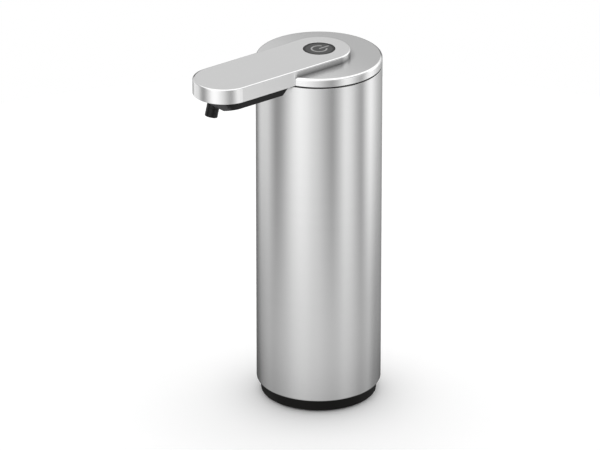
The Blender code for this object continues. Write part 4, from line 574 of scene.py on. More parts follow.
# Boards and switch
# Two fibreglass boards with green solder mask over copper tracks, and a tact switch.
MASK_GREEN = (0.012, 0.11, 0.045, 1)
TRACK_GREEN = (0.03, 0.2, 0.085, 1)
INNER_BLACK = (0.014, 0.014, 0.015)

mask_green, mask_shader, mask_place = start_finish("solder_mask", 0.38)
tracks = mask_place.node(
    "ShaderNodeTexWave", {"bands_direction": "DIAGONAL"},
    {"Vector": mask_place, "Scale": 190.0, "Distortion": 5.0, "Detail": 2.0, "Detail Scale": 0.6},
)
track_edge = tracks.maths("GREATER_THAN", 0.62)
track_edge.blend(MASK_GREEN, TRACK_GREEN).feed(mask_shader, "Base Color")
track_edge.bump(0.03 * MM).feed(mask_shader, "Normal")
(mask_place.noise((700, 700, 700)) * 0.14 + 0.3).feed(mask_shader, "Roughness")
dress(mask_green, "main_board", "sensor_board")
inner_black = moulded(
    "inner_black", INNER_BLACK, roughness=0.45, grain=2400, relief=0.015 * MM
)
dress(inner_black, "tact_switch", "sensor_cable")


# Head frame
# The moulded disc inside the cap that the cap, the arm and the pump case are screwed to.
frame_disc = smooth_copy("head_frame", "frame_disc")
show(frame_disc, inner_black, "head", "head_frame")


# Cap
# A stainless steel lid, pressed and then brushed like the sleeve. Its upper edge is well
# rounded, and the slot for the hose and the cable is hidden under the arm.
ARM_REACH = 61.5 * MM
ARM_BOTTOM = 184.0 * MM
CAP_TOP = 188.4 * MM
CAP_CEILING = 187.6 * MM
CAP_ROUND = 1.35 * MM
CAP_SLOT_RADIUS = 14.25 * MM
CHANNEL_FLOOR = 185.8 * MM
OVERRUN = 1.0 * MM
BLACK = (0, 0, 0, 1)
WHITE = (1, 1, 1, 1)
CAP_STEEL = (0.69, 0.69, 0.69)
# Painted highlight: the share of white blended onto rounded upper edges.
EDGE_HIGHLIGHT_PAINT = 0.65
EDGE_LIT_SHARE = 0.6
FLAT_SKIN = 0.04 * MM
# Painted shade on the cap's face: darker beside the arm and towards the rear.
BESIDE_ARM = (15.5 * MM, 19.5 * MM)
BESIDE_ARM_SHADE = 0.3
REARWARD = (-20 * MM, 20 * MM)
REAR_FACE_SHADE = 0.225
# Painted dark reflection: a line on the cap's rounded edge at the far rear.
RIM_LINE_OUT = (31.2 * MM, 31.5 * MM)
RIM_LINE_REAR = (22 * MM, 27 * MM)
RIM_LINE_HEIGHT = (CAP_TOP - 1.1 * MM, CAP_TOP - 0.7 * MM)
RIM_DARK_REFLECTION = 0.85


def pick(piece, kind, wanted):
    """Select the corners, edges or faces of the edited piece whose every corner is wanted."""
    bpy.ops.mesh.select_mode(type=kind)
    bpy.ops.mesh.select_all(action="DESELECT")
    shape = bmesh.from_edit_mesh(piece.data)
    for item in {"VERT": shape.verts, "EDGE": shape.edges, "FACE": shape.faces}[kind]:
        corners = [item] if kind == "VERT" else item.verts
        if all(wanted(corner.co) for corner in corners):
            item.select_set(True)
    shape.select_flush(True)
    bmesh.update_edit_mesh(piece.data)


def stadium(name, radius, low, high, steps=96):
    """A solid with the arm's outline: the front half of a disc is drawn out to the nose."""
    half_step = math.pi / steps
    bpy.ops.object.select_all(action="DESELECT")
    bpy.ops.mesh.primitive_cylinder_add(
        vertices=steps, radius=radius / math.cos(half_step), depth=high - low,
        location=(0, 0, (low + high) / 2), rotation=(0, 0, half_step),
    )
    piece = new_piece(name)
    pick(piece, "VERT", lambda place: place.y < 0)
    bpy.ops.transform.translate(value=(0, -ARM_REACH, 0))
    bpy.ops.object.mode_set(mode="OBJECT")
    return piece


def painted_edge_highlight(place, colour, top, curve):
    """Paint a highlight on a rounded upper edge by blending it towards white, but not on the flat
    face that it runs into.
    """
    height = place.part(2)
    flat = height.maths("GREATER_THAN", top - FLAT_SKIN)
    lit = height.ease(top - curve, top - curve * EDGE_LIT_SHARE)
    return (lit * (1 - flat) * EDGE_HIGHLIGHT_PAINT).blend(colour, WHITE)


def cap_painted_light(place, colour):
    """Paint a highlight on the cap's edge, painted shade on its face beside the arm and towards
    the rear, and a painted dark reflection along the edge at the rear.
    """
    colour = painted_edge_highlight(place, colour, CAP_TOP, CAP_ROUND)
    height, back = place.part(2), place.part(1)
    face = height.maths("GREATER_THAN", CAP_TOP - FLAT_SKIN)
    outline = place.part(0).radius(back.maths("MAXIMUM", 0))
    beside = 1 - outline.ease(*BESIDE_ARM)
    # dull here is painted shade: the face is darkened beside the arm and towards the rear.
    dull = face * (beside * BESIDE_ARM_SHADE + back.ease(*REARWARD) * REAR_FACE_SHADE)
    # line is a painted dark reflection on the rounded edge at the rear.
    line = outline.ease(*RIM_LINE_OUT) * back.ease(*RIM_LINE_REAR)
    line = line * height.ease(*RIM_LINE_HEIGHT) * RIM_DARK_REFLECTION
    return dull.maths("MAXIMUM", line).blend(colour, BLACK)


cap = lathe("steel_cap", soften([
    (0, CAP_TOP, 0),
    (SLEEVE_RADIUS, CAP_TOP, CAP_ROUND),
    (SLEEVE_RADIUS, ARM_BOTTOM, BROKEN),
    (SLEEVE_BORE, ARM_BOTTOM, 0),
    (SLEEVE_BORE, CAP_CEILING, EASED),
    (0, CAP_CEILING, 0),
], 6))
cut(cap, stadium("cap_slot", CAP_SLOT_RADIUS, CHANNEL_FLOOR, CAP_TOP + OVERRUN))
cap_steel = turned_steel("cap_steel", CAP_STEEL, anisotropy=0.4, patch=cap_painted_light)
show(cap, cap_steel, "head", "cap")


# Arm
# A flat steel shell with two round ends, deep-drawn and brushed lengthwise. It lies over
# the cap, is open below, and has a punched hole with a broken edge for the button.
ARM_RADIUS = 16.1 * MM
ARM_TOP = 192.0 * MM
ARM_CEILING = 191.2 * MM
ARM_SHEET = 0.8 * MM
ARM_ROUND = 0.8 * MM
ARM_LIP = 0.12 * MM
CAP_GAP = 0.06 * MM
BUTTON_HOLE = 8.3 * MM
HOLE_BREAK = 0.08 * MM
HOLE_SPREAD = 0.18 * MM
STUD_X = 9.0 * MM
TRAY_STUD = (-43.5 * MM, 183.5 * MM)
FRAME_STUD = (-14.0 * MM, 187.6 * MM)
STUD_RADIUS = 2.45 * MM
STUD_SINK = 0.4 * MM
STUD_SKIN = 1.5 * MM
ARM_STEEL = (0.72, 0.72, 0.72)
SIDE_TOP = ARM_TOP - 0.7 * MM
# Painted sheen: the arm's sides, and more of its far side, are lightened towards white.
SIDE_OUT = (ARM_RADIUS - 0.13 * MM, ARM_RADIUS)
SIDE_PAINTED_SHEEN = 0.5
LEFTWARD = (2 * MM, 6 * MM)
LEFT_PAINTED_SHEEN = 0.6
# Painted shade on the arm's sides over the cap, deepest down at the cap.
OVER_CAP = (-29 * MM, -28 * MM)
DOWN_TO_CAP = (-191.2 * MM, -CAP_TOP)
STEP_SHADE = 0.4
# Painted dark reflection: an upright stripe on the near side of the arm's rear end.
STRIPE_FRONT = (6 * MM, 9 * MM)
STRIPE_REAR = (13 * MM, 14.5 * MM)
STRIPE_DARK_REFLECTION = 0.65
# Painted dark line on the nose's far rim, standing in for a dark reflection.
NOSE_LINE_OUT = (ARM_RADIUS - 1.2 * MM, ARM_RADIUS - 0.8 * MM)
NOSE_LINE_LEFT = (9 * MM, 12 * MM)
NOSE_LINE_AHEAD = (1 * MM, 6 * MM)
NOSE_LINE_HEIGHT = (ARM_TOP - 0.5 * MM, ARM_TOP - 0.1 * MM)


def arm_painted_light(place, colour):
    """Paint a highlight on the arm's rim, painted sheen on its sides, painted shade and a painted
    dark reflection on the sides over the cap, and a painted dark line at the far side's nose.
    """
    colour = painted_edge_highlight(place, colour, ARM_TOP, ARM_ROUND)
    across, along, height = place.part(0), place.part(1), place.part(2)
    leftward = across * -1
    side = height.maths("LESS_THAN", SIDE_TOP)
    both_sides = across.maths("ABSOLUTE").ease(*SIDE_OUT) * SIDE_PAINTED_SHEEN
    left_side = leftward.ease(*LEFTWARD) * side * LEFT_PAINTED_SHEEN
    # polish here is painted sheen on the sides.
    polish = both_sides.maths("MAXIMUM", left_side)
    step = (height * -1).ease(*DOWN_TO_CAP) * STEP_SHADE
    # stripe is a painted dark reflection on the near side of the rear end.
    stripe = along.ease(*STRIPE_FRONT) - along.ease(*STRIPE_REAR)
    stripe = stripe * across.maths("GREATER_THAN", 0) * STRIPE_DARK_REFLECTION
    # dull here is painted shade over the cap, deepest at the cap, or the painted dark stripe.
    dull = along.ease(*OVER_CAP) * side * step.maths("MAXIMUM", stripe)
    # line is a painted dark line on the nose's far rim, standing in for a dark reflection.
    ahead = along + ARM_REACH
    line = across.radius(ahead).ease(*NOSE_LINE_OUT) * leftward.ease(*NOSE_LINE_LEFT)
    line = line * (ahead * -1).ease(*NOSE_LINE_AHEAD) * height.ease(*NOSE_LINE_HEIGHT)
    return dull.maths("MAXIMUM", line).blend(polish.blend(colour, WHITE), BLACK)


arm = stadium("steel_arm", ARM_RADIUS, ARM_BOTTOM, ARM_TOP, 128)
bpy.context.view_layer.objects.active = arm
bpy.ops.object.mode_set(mode="EDIT")
pick(arm, "EDGE", lambda place: place.z > ARM_TOP - WELD)
bpy.ops.mesh.bevel(offset=ARM_ROUND, segments=6)
pick(arm, "EDGE", lambda place: place.z < ARM_BOTTOM + WELD)
bpy.ops.mesh.bevel(offset=ARM_LIP, segments=2)
bpy.ops.object.mode_set(mode="OBJECT")
cut(arm, stadium("arm_hollow", ARM_RADIUS - ARM_SHEET, ARM_BOTTOM - OVERRUN, ARM_CEILING))
step_radius, step_top = SLEEVE_RADIUS + CAP_GAP, CAP_TOP + CAP_GAP
cut(arm, drill(0, 0, step_radius, ARM_BOTTOM - OVERRUN, step_top, ROUND_STEPS))
cut(arm, drill(0, 0, BUTTON_HOLE, ARM_CEILING - OVERRUN, ARM_TOP + OVERRUN, 96))
hole_edge = lathe("hole_edge", [
    (0, ARM_TOP - HOLE_BREAK),
    (BUTTON_HOLE, ARM_TOP - HOLE_BREAK),
    (BUTTON_HOLE + HOLE_SPREAD, ARM_TOP + CRISP),
    (0, ARM_TOP + CRISP),
], steps=96)
cut(arm, hole_edge)
for x in (-STUD_X, STUD_X):
    for y, low in (TRAY_STUD, FRAME_STUD):
        cut(arm, drill(x, y, STUD_RADIUS, low, ARM_CEILING + STUD_SINK), "UNION")
        cut(arm, drill(x, y, SCREW_HOLE, low - OVERRUN, ARM_CEILING - STUD_SKIN))
arm_steel = brushed(
    "arm_steel", ARM_STEEL, fine_lines=(2600, 24, 2600), long_lines=(700, 10, 700),
    patch=arm_painted_light,
)
show(arm, arm_steel, "head", "arm_cover")


# Tray
# The black ABS tray closes the arm from below. Its walls are drafted, its front is cut off
# at a slant, and the sensor window, two screws and the nozzle go through it.
TRAY_RADIUS = 15.6 * MM
TRAY_TOP = 183.7 * MM
TRAY_BOTTOM = 180.0 * MM
TRAY_REAR = -32.8 * MM
TRAY_FRONT = -ARM_REACH - TRAY_RADIUS
TRAY_DRAFT = 1.0 * MM
TRAY_NOSE_DRAFT = 0.4 * MM
TRAY_REAR_DRAFT = 2.5 * MM
TRAY_CHIN = -71.0 * MM
RIM_RADIUS = 15.15 * MM
RIM_SINK = 0.4 * MM
RIM_TOP = 185.6 * MM
RIM_END_LOW = (-30 * MM, TRAY_REAR, 180 * MM)
RIM_END_HIGH = (30 * MM, 30 * MM, 190 * MM)
APRON_HALF = RIM_RADIUS - 0.3 * MM
APRON_FRONT = -36.8 * MM
APRON_LOW = 184.3 * MM
APRON_TOP = 185.5 * MM
SLEEVE_GAP = 0.3 * MM
POCKET_HALF = 13.2 * MM
POCKET_FRONT = -69.5 * MM
POCKET_REAR = -37.1 * MM
POCKET_FLOOR = 181.5 * MM
SEAT_RADIUS = 3.7 * MM
SEAT_LOW = 181.1 * MM
SEAT_TOP = 183.2 * MM
HEAD_ROOM = 2.5 * MM
HEAD_ROOM_TOP = 181.7 * MM
WINDOW_Y = -54.0 * MM
WINDOW_HALF = 4.0 * MM
WINDOW_END = 3.0 * MM
WINDOW_ROOM_TOP = 182 * MM
NOZZLE_Y = -67.2 * MM
NOZZLE_TILT = math.radians(15)
NOZZLE_HOLE = 3.45 * MM
NOZZLE_HOLE_LOW = 172 * MM
COLLAR_ROOM = 4.3 * MM
COLLAR_ROOM_LOW = 182.7 * MM
TRAY_BLACK = (0.006, 0.006, 0.006)
# Painted reflection: the grey that the slanted chin is blended to.
CHIN_REFLECTION_GREY = (0.078, 0.078, 0.080, 1)
CHIN_FADE = (-5.2 * MM, -2.5 * MM)


def block(name, low, high):
    """A block between two opposite corners, as a tool for a cut."""
    bpy.ops.object.select_all(action="DESELECT")
    middle = [(a + b) / 2 for a, b in zip(low, high)]
    bpy.ops.mesh.primitive_cube_add(size=1, location=middle)
    bpy.context.object.scale = [b - a for a, b in zip(low, high)]
    tool = new_piece(name)
    bpy.ops.object.mode_set(mode="OBJECT")
    return tool


def lean(piece):
    """Lean a piece outward with the nozzle."""
    pivot = Vector((0, NOZZLE_Y, ARM_BOTTOM))
    turn = Matrix.Translation(pivot) @ Matrix.Rotation(-NOZZLE_TILT, 4, "X")
    piece.data.transform(turn @ Matrix.Translation(-pivot))
    return piece


def painted_chin_reflection(place, colour):
    """The slanted chin is painted paler than the walls: a painted reflection of the light from
    below.
    """
    slant = place.part(1) * -1 - place.part(2) + (TRAY_CHIN + TRAY_BOTTOM)
    return slant.ease(*CHIN_FADE).blend(colour, CHIN_REFLECTION_GREY)


tray = stadium("black_tray", TRAY_RADIUS, TRAY_BOTTOM, TRAY_TOP)
bpy.context.view_layer.objects.active = tray
bpy.ops.object.mode_set(mode="EDIT")
bpy.ops.mesh.select_all(action="SELECT")
bpy.ops.mesh.bisect(
    plane_co=(0, TRAY_REAR, 0), plane_no=(0, 1, 0), use_fill=True, clear_outer=True
)
tray_length = TRAY_REAR - TRAY_FRONT
short = 1 - (TRAY_NOSE_DRAFT + TRAY_REAR_DRAFT) / tray_length
middle_y = TRAY_REAR - TRAY_REAR_DRAFT / (1 - short)
pick(tray, "VERT", lambda place: place.z < TRAY_BOTTOM + WELD)
bpy.ops.transform.resize(
    value=((TRAY_RADIUS - TRAY_DRAFT) / TRAY_RADIUS, short, 1),
    center_override=(0, middle_y, TRAY_BOTTOM),
)
bpy.ops.object.mode_set(mode="OBJECT")
rim = stadium("tray_rim", RIM_RADIUS, TRAY_TOP - RIM_SINK, RIM_TOP)
cut(rim, block("rim_end", RIM_END_LOW, RIM_END_HIGH))
cut(tray, rim, "UNION")
bpy.context.view_layer.objects.active = tray
bpy.ops.object.mode_set(mode="EDIT")
bpy.ops.mesh.select_all(action="SELECT")
bpy.ops.mesh.bisect(
    plane_co=(0, TRAY_CHIN, TRAY_BOTTOM), plane_no=(0, -1, -1), use_fill=True, clear_outer=True
)
bpy.ops.mesh.select_all(action="DESELECT")
bpy.ops.mesh.select_mode(type="EDGE")
bpy.ops.mesh.edges_select_sharp(sharpness=math.radians(32))
bpy.ops.mesh.bevel(offset=CRISP, segments=2)
bpy.ops.object.mode_set(mode="OBJECT")
apron_low = (-APRON_HALF, APRON_FRONT, APRON_LOW)
cut(tray, block("apron", apron_low, (APRON_HALF, 0, APRON_TOP)), "UNION")
room_radius = SLEEVE_RADIUS + SLEEVE_GAP
cut(tray, drill(0, 0, room_radius, TRAY_BOTTOM, RIM_TOP + OVERRUN, ROUND_STEPS))
pocket_low = (-POCKET_HALF, POCKET_FRONT, POCKET_FLOOR)
cut(tray, block("pocket", pocket_low, (POCKET_HALF, POCKET_REAR, RIM_TOP + OVERRUN)))
for x in (-STUD_X, STUD_X):
    cut(tray, drill(x, TRAY_STUD[0], SEAT_RADIUS, SEAT_LOW, SEAT_TOP), "UNION")
    cut(tray, drill(x, TRAY_STUD[0], HEAD_ROOM, TRAY_BOTTOM - OVERRUN, HEAD_ROOM_TOP))
    cut(tray, drill(x, TRAY_STUD[0], SCREW_HOLE, TRAY_BOTTOM, RIM_TOP))
window_low = (-WINDOW_HALF, WINDOW_Y - WINDOW_END, TRAY_BOTTOM - OVERRUN)
window_high = (WINDOW_HALF, WINDOW_Y + WINDOW_END, WINDOW_ROOM_TOP)
cut(tray, block("window_room", window_low, window_high))
for x in (-WINDOW_HALF, WINDOW_HALF):
    cut(tray, drill(x, WINDOW_Y, WINDOW_END, TRAY_BOTTOM - OVERRUN, WINDOW_ROOM_TOP))
cut(tray, lean(drill(0, NOZZLE_Y, NOZZLE_HOLE, NOZZLE_HOLE_LOW, ARM_TOP, 64)))
cut(tray, lean(drill(0, NOZZLE_Y, COLLAR_ROOM, COLLAR_ROOM_LOW, ARM_TOP, 64)))
tray_black = moulded(
    "tray_black", TRAY_BLACK, roughness=0.36, grain=3000, relief=0.01 * MM, sheen=0.2,
    patch=painted_chin_reflection,
)
show(tray, tray_black, "head", "arm_tray")


# Tray screws
# Two of the same pan-head screws, whose cross recesses show under the tray.
SCREW_SEAT = 181.4 * MM
SCREW_TIP = 189.4 * MM
SCREW_POINT = 0.6 * MM
SCREW_RADIUS = 1.1 * MM
HEAD_RADIUS = 2.2 * MM
HEAD_HEIGHT = 1.1 * MM
HEAD_DOME = 0.6 * MM
CROSS_LONG = 1.3 * MM
CROSS_WIDE = 0.28 * MM
CROSS_LOW = SCREW_SEAT - 2 * MM
CROSS_TOP = SCREW_SEAT - 0.35 * MM


def tray_screw(name, x, node):
    """A pan-head screw with a cross recess, standing head down."""
    y = TRAY_STUD[0]
    screw = lathe(name, soften([
        (0, SCREW_SEAT - HEAD_HEIGHT, 0),
        (HEAD_RADIUS, SCREW_SEAT - HEAD_HEIGHT, HEAD_DOME),
        (HEAD_RADIUS, SCREW_SEAT, CRISP),
        (SCREW_RADIUS, SCREW_SEAT, 0),
        (SCREW_RADIUS, SCREW_TIP - SCREW_POINT, 0),
        (0, SCREW_TIP, 0),
    ]), centre=(x, y), steps=32)
    for wide, deep in ((CROSS_LONG, CROSS_WIDE), (CROSS_WIDE, CROSS_LONG)):
        low = (x - wide, y - deep, CROSS_LOW)
        cut(screw, block("driver", low, (x + wide, y + deep, CROSS_TOP)))
    show(screw, zinc, "head", node)


tray_screw("tray_screw_left", -STUD_X, "tray_screw_1")
tray_screw("tray_screw_right", STUD_X, "tray_screw_2")


# Sensor window
# A window of infrared-passing acrylic, almost black with a red cast, polished.
WINDOW_BLACK = (0.012, 0.002, 0.003, 1)
WINDOW_RED = (0.028, 0.004, 0.007, 1)

window, window_shader, window_place = start_finish("dark_acrylic", 0.08, Coat_Weight=0.3)
depth = window_place.noise((350, 350, 350))
depth.blend(WINDOW_BLACK, WINDOW_RED).feed(window_shader, "Base Color")
(depth * 0.06 + 0.06).feed(window_shader, "Roughness")
dress(window, "sensor_window", "ir_emitter", "ir_receiver")


# Nozzle
# A short spout of black ABS that leans outward through the tray, with three very shallow
# grooves round it; a slit valve of silicone sits in its bore.
NOZZLE_RADIUS = 3.3 * MM
NOZZLE_TIP = ARM_BOTTOM - 11.4 * MM
NOZZLE_NECK = 3.0 * MM
NOZZLE_HEAD = 190.1 * MM
COLLAR_RADIUS = 4.0 * MM
COLLAR_LOW = 183.0 * MM
COLLAR_TOP = 184.2 * MM
GROOVE_PLACES = (7.0 * MM, 4.8 * MM, 2.6 * MM)
GROOVE_HALF = 0.28 * MM
GROOVE_DEPTH = 0.14 * MM
GROOVE_ROUND = 0.04 * MM
VALVE_ROOM = 2.4 * MM
VALVE_ROOM_DEPTH = 3.4 * MM
VALVE_ROOM_ROUND = 0.15 * MM
NOZZLE_BORE = 1.6 * MM
NOZZLE_BORE_TOP = 188.4 * MM
SPOUT_BLACK = (0.004, 0.004, 0.004)

corners = [
    (0, NOZZLE_HEAD, 0),
    (NOZZLE_NECK, NOZZLE_HEAD, BROKEN),
    (NOZZLE_NECK, COLLAR_TOP, 0),
    (COLLAR_RADIUS, COLLAR_TOP, BROKEN),
    (COLLAR_RADIUS, COLLAR_LOW, BROKEN),
    (NOZZLE_RADIUS, COLLAR_LOW, 0),
]
for groove in GROOVE_PLACES:
    corners += [
        (NOZZLE_RADIUS, NOZZLE_TIP + groove + GROOVE_HALF, GROOVE_ROUND),
        (NOZZLE_RADIUS - GROOVE_DEPTH, NOZZLE_TIP + groove, GROOVE_ROUND),
        (NOZZLE_RADIUS, NOZZLE_TIP + groove - GROOVE_HALF, GROOVE_ROUND),
    ]
corners += [
    (NOZZLE_RADIUS, NOZZLE_TIP, ROUNDED),
    (VALVE_ROOM, NOZZLE_TIP, VALVE_ROOM_ROUND),
    (VALVE_ROOM, NOZZLE_TIP + VALVE_ROOM_DEPTH, 0),
    (NOZZLE_BORE, NOZZLE_TIP + VALVE_ROOM_DEPTH, 0),
    (NOZZLE_BORE, NOZZLE_BORE_TOP, 0),
    (0, NOZZLE_BORE_TOP, 0),
]
spout = lean(lathe("black_spout", soften(corners, 3), centre=(0, NOZZLE_Y), steps=64))
spout_black = moulded(
    "spout_black", SPOUT_BLACK, roughness=0.32, grain=3000, relief=0.008 * MM, sheen=0.25
)
show(spout, spout_black, "head", "nozzle", 40)


# Button
# A flat round button of dark grey ABS that stands just below the arm's face. Its rim is
# darker, and a generic power symbol is printed on it in pale grey.
BUTTON_RADIUS = 8.1 * MM
BUTTON_TOP = 191.85 * MM
BUTTON_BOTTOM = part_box("power_button")[0].z
FLANGE_RADIUS = BUTTON_RADIUS + 0.8 * MM
FLANGE_TOP = 190.9 * MM
FLANGE_BOTTOM = 190.0 * MM
PLUNGER_RADIUS = 2.2 * MM
SYMBOL_RADIUS = 4.3 * MM
SYMBOL_LINE = 0.8 * MM
SYMBOL_GAP = math.radians(62)
BAR_START = 0.2 * MM
BAR_END = 6.3 * MM
PRINT = 0.03 * MM
BUTTON_GREY = (0.066, 0.066, 0.066)
RIM_GREY = (0.024, 0.024, 0.024, 1)
RIM_FADE = (6.7 * MM, 7.2 * MM)
SYMBOL_GREY = (0.38, 0.38, 0.38)


def dark_rim(place, colour):
    """The rim of the button is darker than its middle."""
    return place.part(0).radius(place.part(1)).ease(*RIM_FADE).blend(colour, RIM_GREY)


button = lathe("grey_button", soften([
    (0, BUTTON_TOP, 0),
    (BUTTON_RADIUS, BUTTON_TOP, EASED),
    (BUTTON_RADIUS, FLANGE_TOP, 0),
    (FLANGE_RADIUS, FLANGE_TOP, CRISP),
    (FLANGE_RADIUS, FLANGE_BOTTOM, CRISP),
    (PLUNGER_RADIUS, FLANGE_BOTTOM, EASED),
    (PLUNGER_RADIUS, BUTTON_BOTTOM, EASED),
    (0, BUTTON_BOTTOM, 0),
]), steps=96)
button_grey = moulded(
    "button_grey", BUTTON_GREY, roughness=0.5, grain=3200, relief=0.01 * MM, sheen=0.2,
    patch=dark_rim,
)
show(button, button_grey, "button", "power_button")

ring = lathe("button_symbol", [
    (SYMBOL_RADIUS, BUTTON_TOP),
    (SYMBOL_RADIUS, BUTTON_TOP + PRINT),
    (SYMBOL_RADIUS - SYMBOL_LINE, BUTTON_TOP + PRINT),
    (SYMBOL_RADIUS - SYMBOL_LINE, BUTTON_TOP),
], closed=True, steps=60, sweep=math.tau - SYMBOL_GAP)
ring.data.transform(Matrix.Rotation(math.pi / 2 - SYMBOL_GAP / 2, 4, "Z"))
bar = block(
    "symbol_bar", (-SYMBOL_LINE / 2, BAR_START, BUTTON_TOP),
    (SYMBOL_LINE / 2, BAR_END, BUTTON_TOP + PRINT),
)
bpy.ops.object.select_all(action="DESELECT")
bar.select_set(True)
ring.select_set(True)
bpy.context.view_layer.objects.active = ring
bpy.ops.object.join()
symbol_grey = moulded(
    "symbol_grey", SYMBOL_GREY, roughness=0.5, grain=2600, relief=0.006 * MM, mottle=0.06,
    sheen=0.2,
)
ring.data.materials.clear()
ring.data.materials.append(symbol_grey)
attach(ring, "button")


coil = smooth_copy("button_spring", "return_coil")
show(coil, zinc, "head", "button_spring")
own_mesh(coil)


# Shelf and light
# A plain white shelf, a white surround that is brighter from behind, and one soft lamp
# overhead. What the steel mirrors is a light tent with paler and darker panels round it,
# and the shelf below them.
FLOOR_RADIUS = 0.42
VIEW_AZIMUTH = math.radians(51.31)
VIEW_ELEVATION = math.radians(24.33)
CAMERA_HEADING = math.atan2(-math.cos(VIEW_AZIMUTH), math.sin(VIEW_AZIMUTH))
SHELF_GLOW = 0.10
GLOW_FADE = (0.0, 0.065)
NEAR_FADE = (0.02, 0.12)
NEAR_SHARE = 0.65
FAR_FADE = (0.12, FLOOR_RADIUS)
SURROUND = 0.94
SURROUND_TILT = 0.6
UPPER_FADE = (0.08, 0.28)
TOP_FADE = (0.58, 0.78)
TOP_LEVEL = 1.3
SCATTER_LOSS = 0.7
LAMP_SHARE = 0.06
LAMP_SPREAD = math.radians(24)
PANEL_PEAK = 2.0
PANELS = [
    0.28, 0.28, 0.20, 0.68, 1.05, 1.02, 1.06, 0.72, 0.36, 0.52, 0.92, 1.32, 1.52, 1.40, 1.15,
    0.94, 0.64, 0.39, 0.80, 1.35, 1.22, 0.76, 0.44, 1.12, 1.52, 1.16, 0.82, 0.64, 0.50, 0.38, 0.28,
]
UPPER_PANELS = [
    0.80, 0.80, 0.80, 0.60, 0.50, 0.45, 0.40, 0.30, 0.25, 0.40, 0.90, 1.20, 1.40, 1.20, 1.00,
    0.80, 0.45, 0.40, 0.60, 0.80, 0.55, 0.50, 0.50, 0.70, 1.30, 1.30, 1.30, 1.10, 0.85, 0.80, 0.80,
]
SHELF_PANELS = [
    0.15, 0.16, 0.20, 0.37, 0.50, 0.59, 0.68, 0.64, 0.69, 0.75, 0.83, 0.95, 1.02, 1.02, 0.95,
    0.92, 0.86, 0.82, 0.83, 0.92, 0.87, 0.76, 0.63, 0.67, 0.76, 0.55, 0.42, 0.41, 0.34, 0.28, 0.22,
]


def panels(place, levels, spread=1.0):
    """Levels round the upright axis; the list starts and ends straight behind the object."""
    heading = place.part(1).maths("ARCTAN2", place.part(0)) - CAMERA_HEADING
    turn = (heading * (1 / math.tau) + 0.5).maths("FRACT") - 0.5
    stops = [(i / (len(levels) - 1), level / PANEL_PEAK) for i, level in enumerate(levels)]
    share = turn * spread + 0.5
    return share.node("ShaderNodeValToRGB", {"stops": stops}, {"Fac": share}) * PANEL_PEAK


bpy.ops.object.select_all(action="DESELECT")
bpy.ops.mesh.primitive_circle_add(vertices=96, radius=FLOOR_RADIUS, fill_type="NGON")
floor = new_piece("shelf")
bpy.ops.object.mode_set(mode="OBJECT")
shelf_white, shelf_shader, shelf_place = start_finish("shelf_white", 0.9, Specular_IOR_Level=0.0)
tree = shelf_white.node_tree
shelf_place.noise((60, 60, 60)).blend(shade_of(WHITE[:3], 0.99), WHITE).feed(
    shelf_shader, "Base Color"
)
shelf_shader.inputs["Emission Color"].default_value = WHITE
distance = shelf_place.node("ShaderNodeVectorMath", {"operation": "LENGTH"}, {0: shelf_place}, 1)
rays = tree.nodes.new("ShaderNodeLightPath").outputs
# For the camera the shelf glows, fading out towards the base: painted light, which leaves the
# shadow next to the base deeper.
lit = Wire(rays["Is Camera Ray"]) * distance.ease(*GLOW_FADE) * SHELF_GLOW
lit.feed(shelf_shader, "Emission Strength")
far = distance.ease(*FAR_FADE)
spread = distance.maths("DIVIDE", distance - SLEEVE_RADIUS / 2)
# Seen in the steel, the shelf glows with panels, and near_shade paints it darker close to the base
# as painted shade.
near_shade = distance.ease(*NEAR_FADE) * (1 - NEAR_SHARE) + NEAR_SHARE
near_level = panels(shelf_place, SHELF_PANELS, spread) * near_shade
shelf_level = near_level * (1 - far) + panels(shelf_place, PANELS, spread) * far
glow = shelf_level.node("ShaderNodeEmission", {}, {"Strength": shelf_level})
mirrored = Wire(rays["Is Glossy Ray"])
shelf_seen = mirrored.node(
    "ShaderNodeMixShader", {}, {0: mirrored, 1: Wire(shelf_shader.outputs[0]), 2: glow}
)
underside = Wire(tree.nodes.new("ShaderNodeNewGeometry").outputs["Backfacing"])
clear = underside.node("ShaderNodeBsdfTransparent", {}, {})
seen = underside.node("ShaderNodeMixShader", {}, {0: underside, 1: shelf_seen, 2: clear})
tree.links.new(seen.socket, tree.nodes["Material Output"].inputs["Surface"])
floor.data.materials.append(shelf_white)

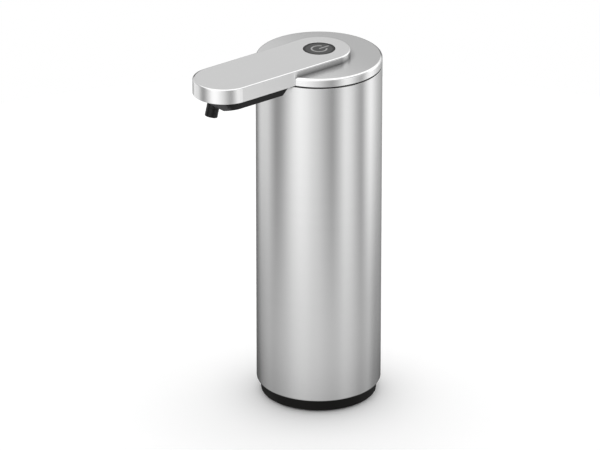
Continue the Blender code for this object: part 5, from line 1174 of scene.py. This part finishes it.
world = bpy.data.worlds.new("light_tent")
bpy.context.scene.world = world
world.use_nodes = True
sky = world.node_tree.nodes
heading = Wire(sky.new("ShaderNodeTexCoord").outputs["Generated"])
rays = sky.new("ShaderNodeLightPath").outputs
upper, top = heading.part(2).ease(*UPPER_FADE), heading.part(2).ease(*TOP_FADE)
tent = panels(heading, PANELS) * (1 - upper) + panels(heading, UPPER_PANELS) * upper
tent = tent * (1 - top) + top * TOP_LEVEL
scattered = Wire(rays["Diffuse Depth"]).maths("GREATER_THAN", 0.5)
tent = tent * (1 - scattered * SCATTER_LOSS)
on_camera, mirrored = Wire(rays["Is Camera Ray"]), Wire(rays["Is Glossy Ray"])
rearward = heading.part(1) * math.cos(VIEW_AZIMUTH) - heading.part(0) * math.sin(VIEW_AZIMUTH)
surround = (rearward * SURROUND_TILT + 1) * SURROUND
sky_level = on_camera + (1 - on_camera) * (mirrored * tent + (1 - mirrored) * surround)
world.node_tree.links.new(sky_level.socket, sky["Background"].inputs["Strength"])
sky["Background"].inputs["Color"].default_value = WHITE

lamp = bpy.data.lights.new("soft_lamp", "SUN")
lamp.energy = LAMP_SHARE * math.pi
lamp.angle = LAMP_SPREAD
lamp_object = bpy.data.objects.new("soft_lamp", lamp)
bpy.context.scene.collection.objects.link(lamp_object)
lamp_object.visible_glossy = False


# Camera
# It stands three metres off with a long lens, at the photograph's angle.
VIEW_DISTANCE = 3.0
VIEW_TARGET = Vector((0, 0, 0.095))
VIEW_SLIDE = (-0.00975, -0.00185)
SENSOR_WIDTH = 36.0
LENS = 347.55

camera_data = bpy.data.cameras.new("camera")
camera_data.sensor_width = SENSOR_WIDTH
camera_data.lens = LENS
camera = bpy.data.objects.new("camera", camera_data)
bpy.context.scene.collection.objects.link(camera)
right = Vector((math.cos(VIEW_AZIMUTH), math.sin(VIEW_AZIMUTH), 0))
back = Vector((
    math.sin(VIEW_AZIMUTH) * math.cos(VIEW_ELEVATION),
    -math.cos(VIEW_AZIMUTH) * math.cos(VIEW_ELEVATION),
    math.sin(VIEW_ELEVATION),
))
up = back.cross(right)
camera.matrix_world = Matrix.Translation(
    VIEW_TARGET + back * VIEW_DISTANCE + right * VIEW_SLIDE[0] + up * VIEW_SLIDE[1]
) @ Matrix((right, up, back)).transposed().to_4x4()
bpy.context.scene.camera = camera
bpy.context.scene.view_settings.view_transform = "Standard"
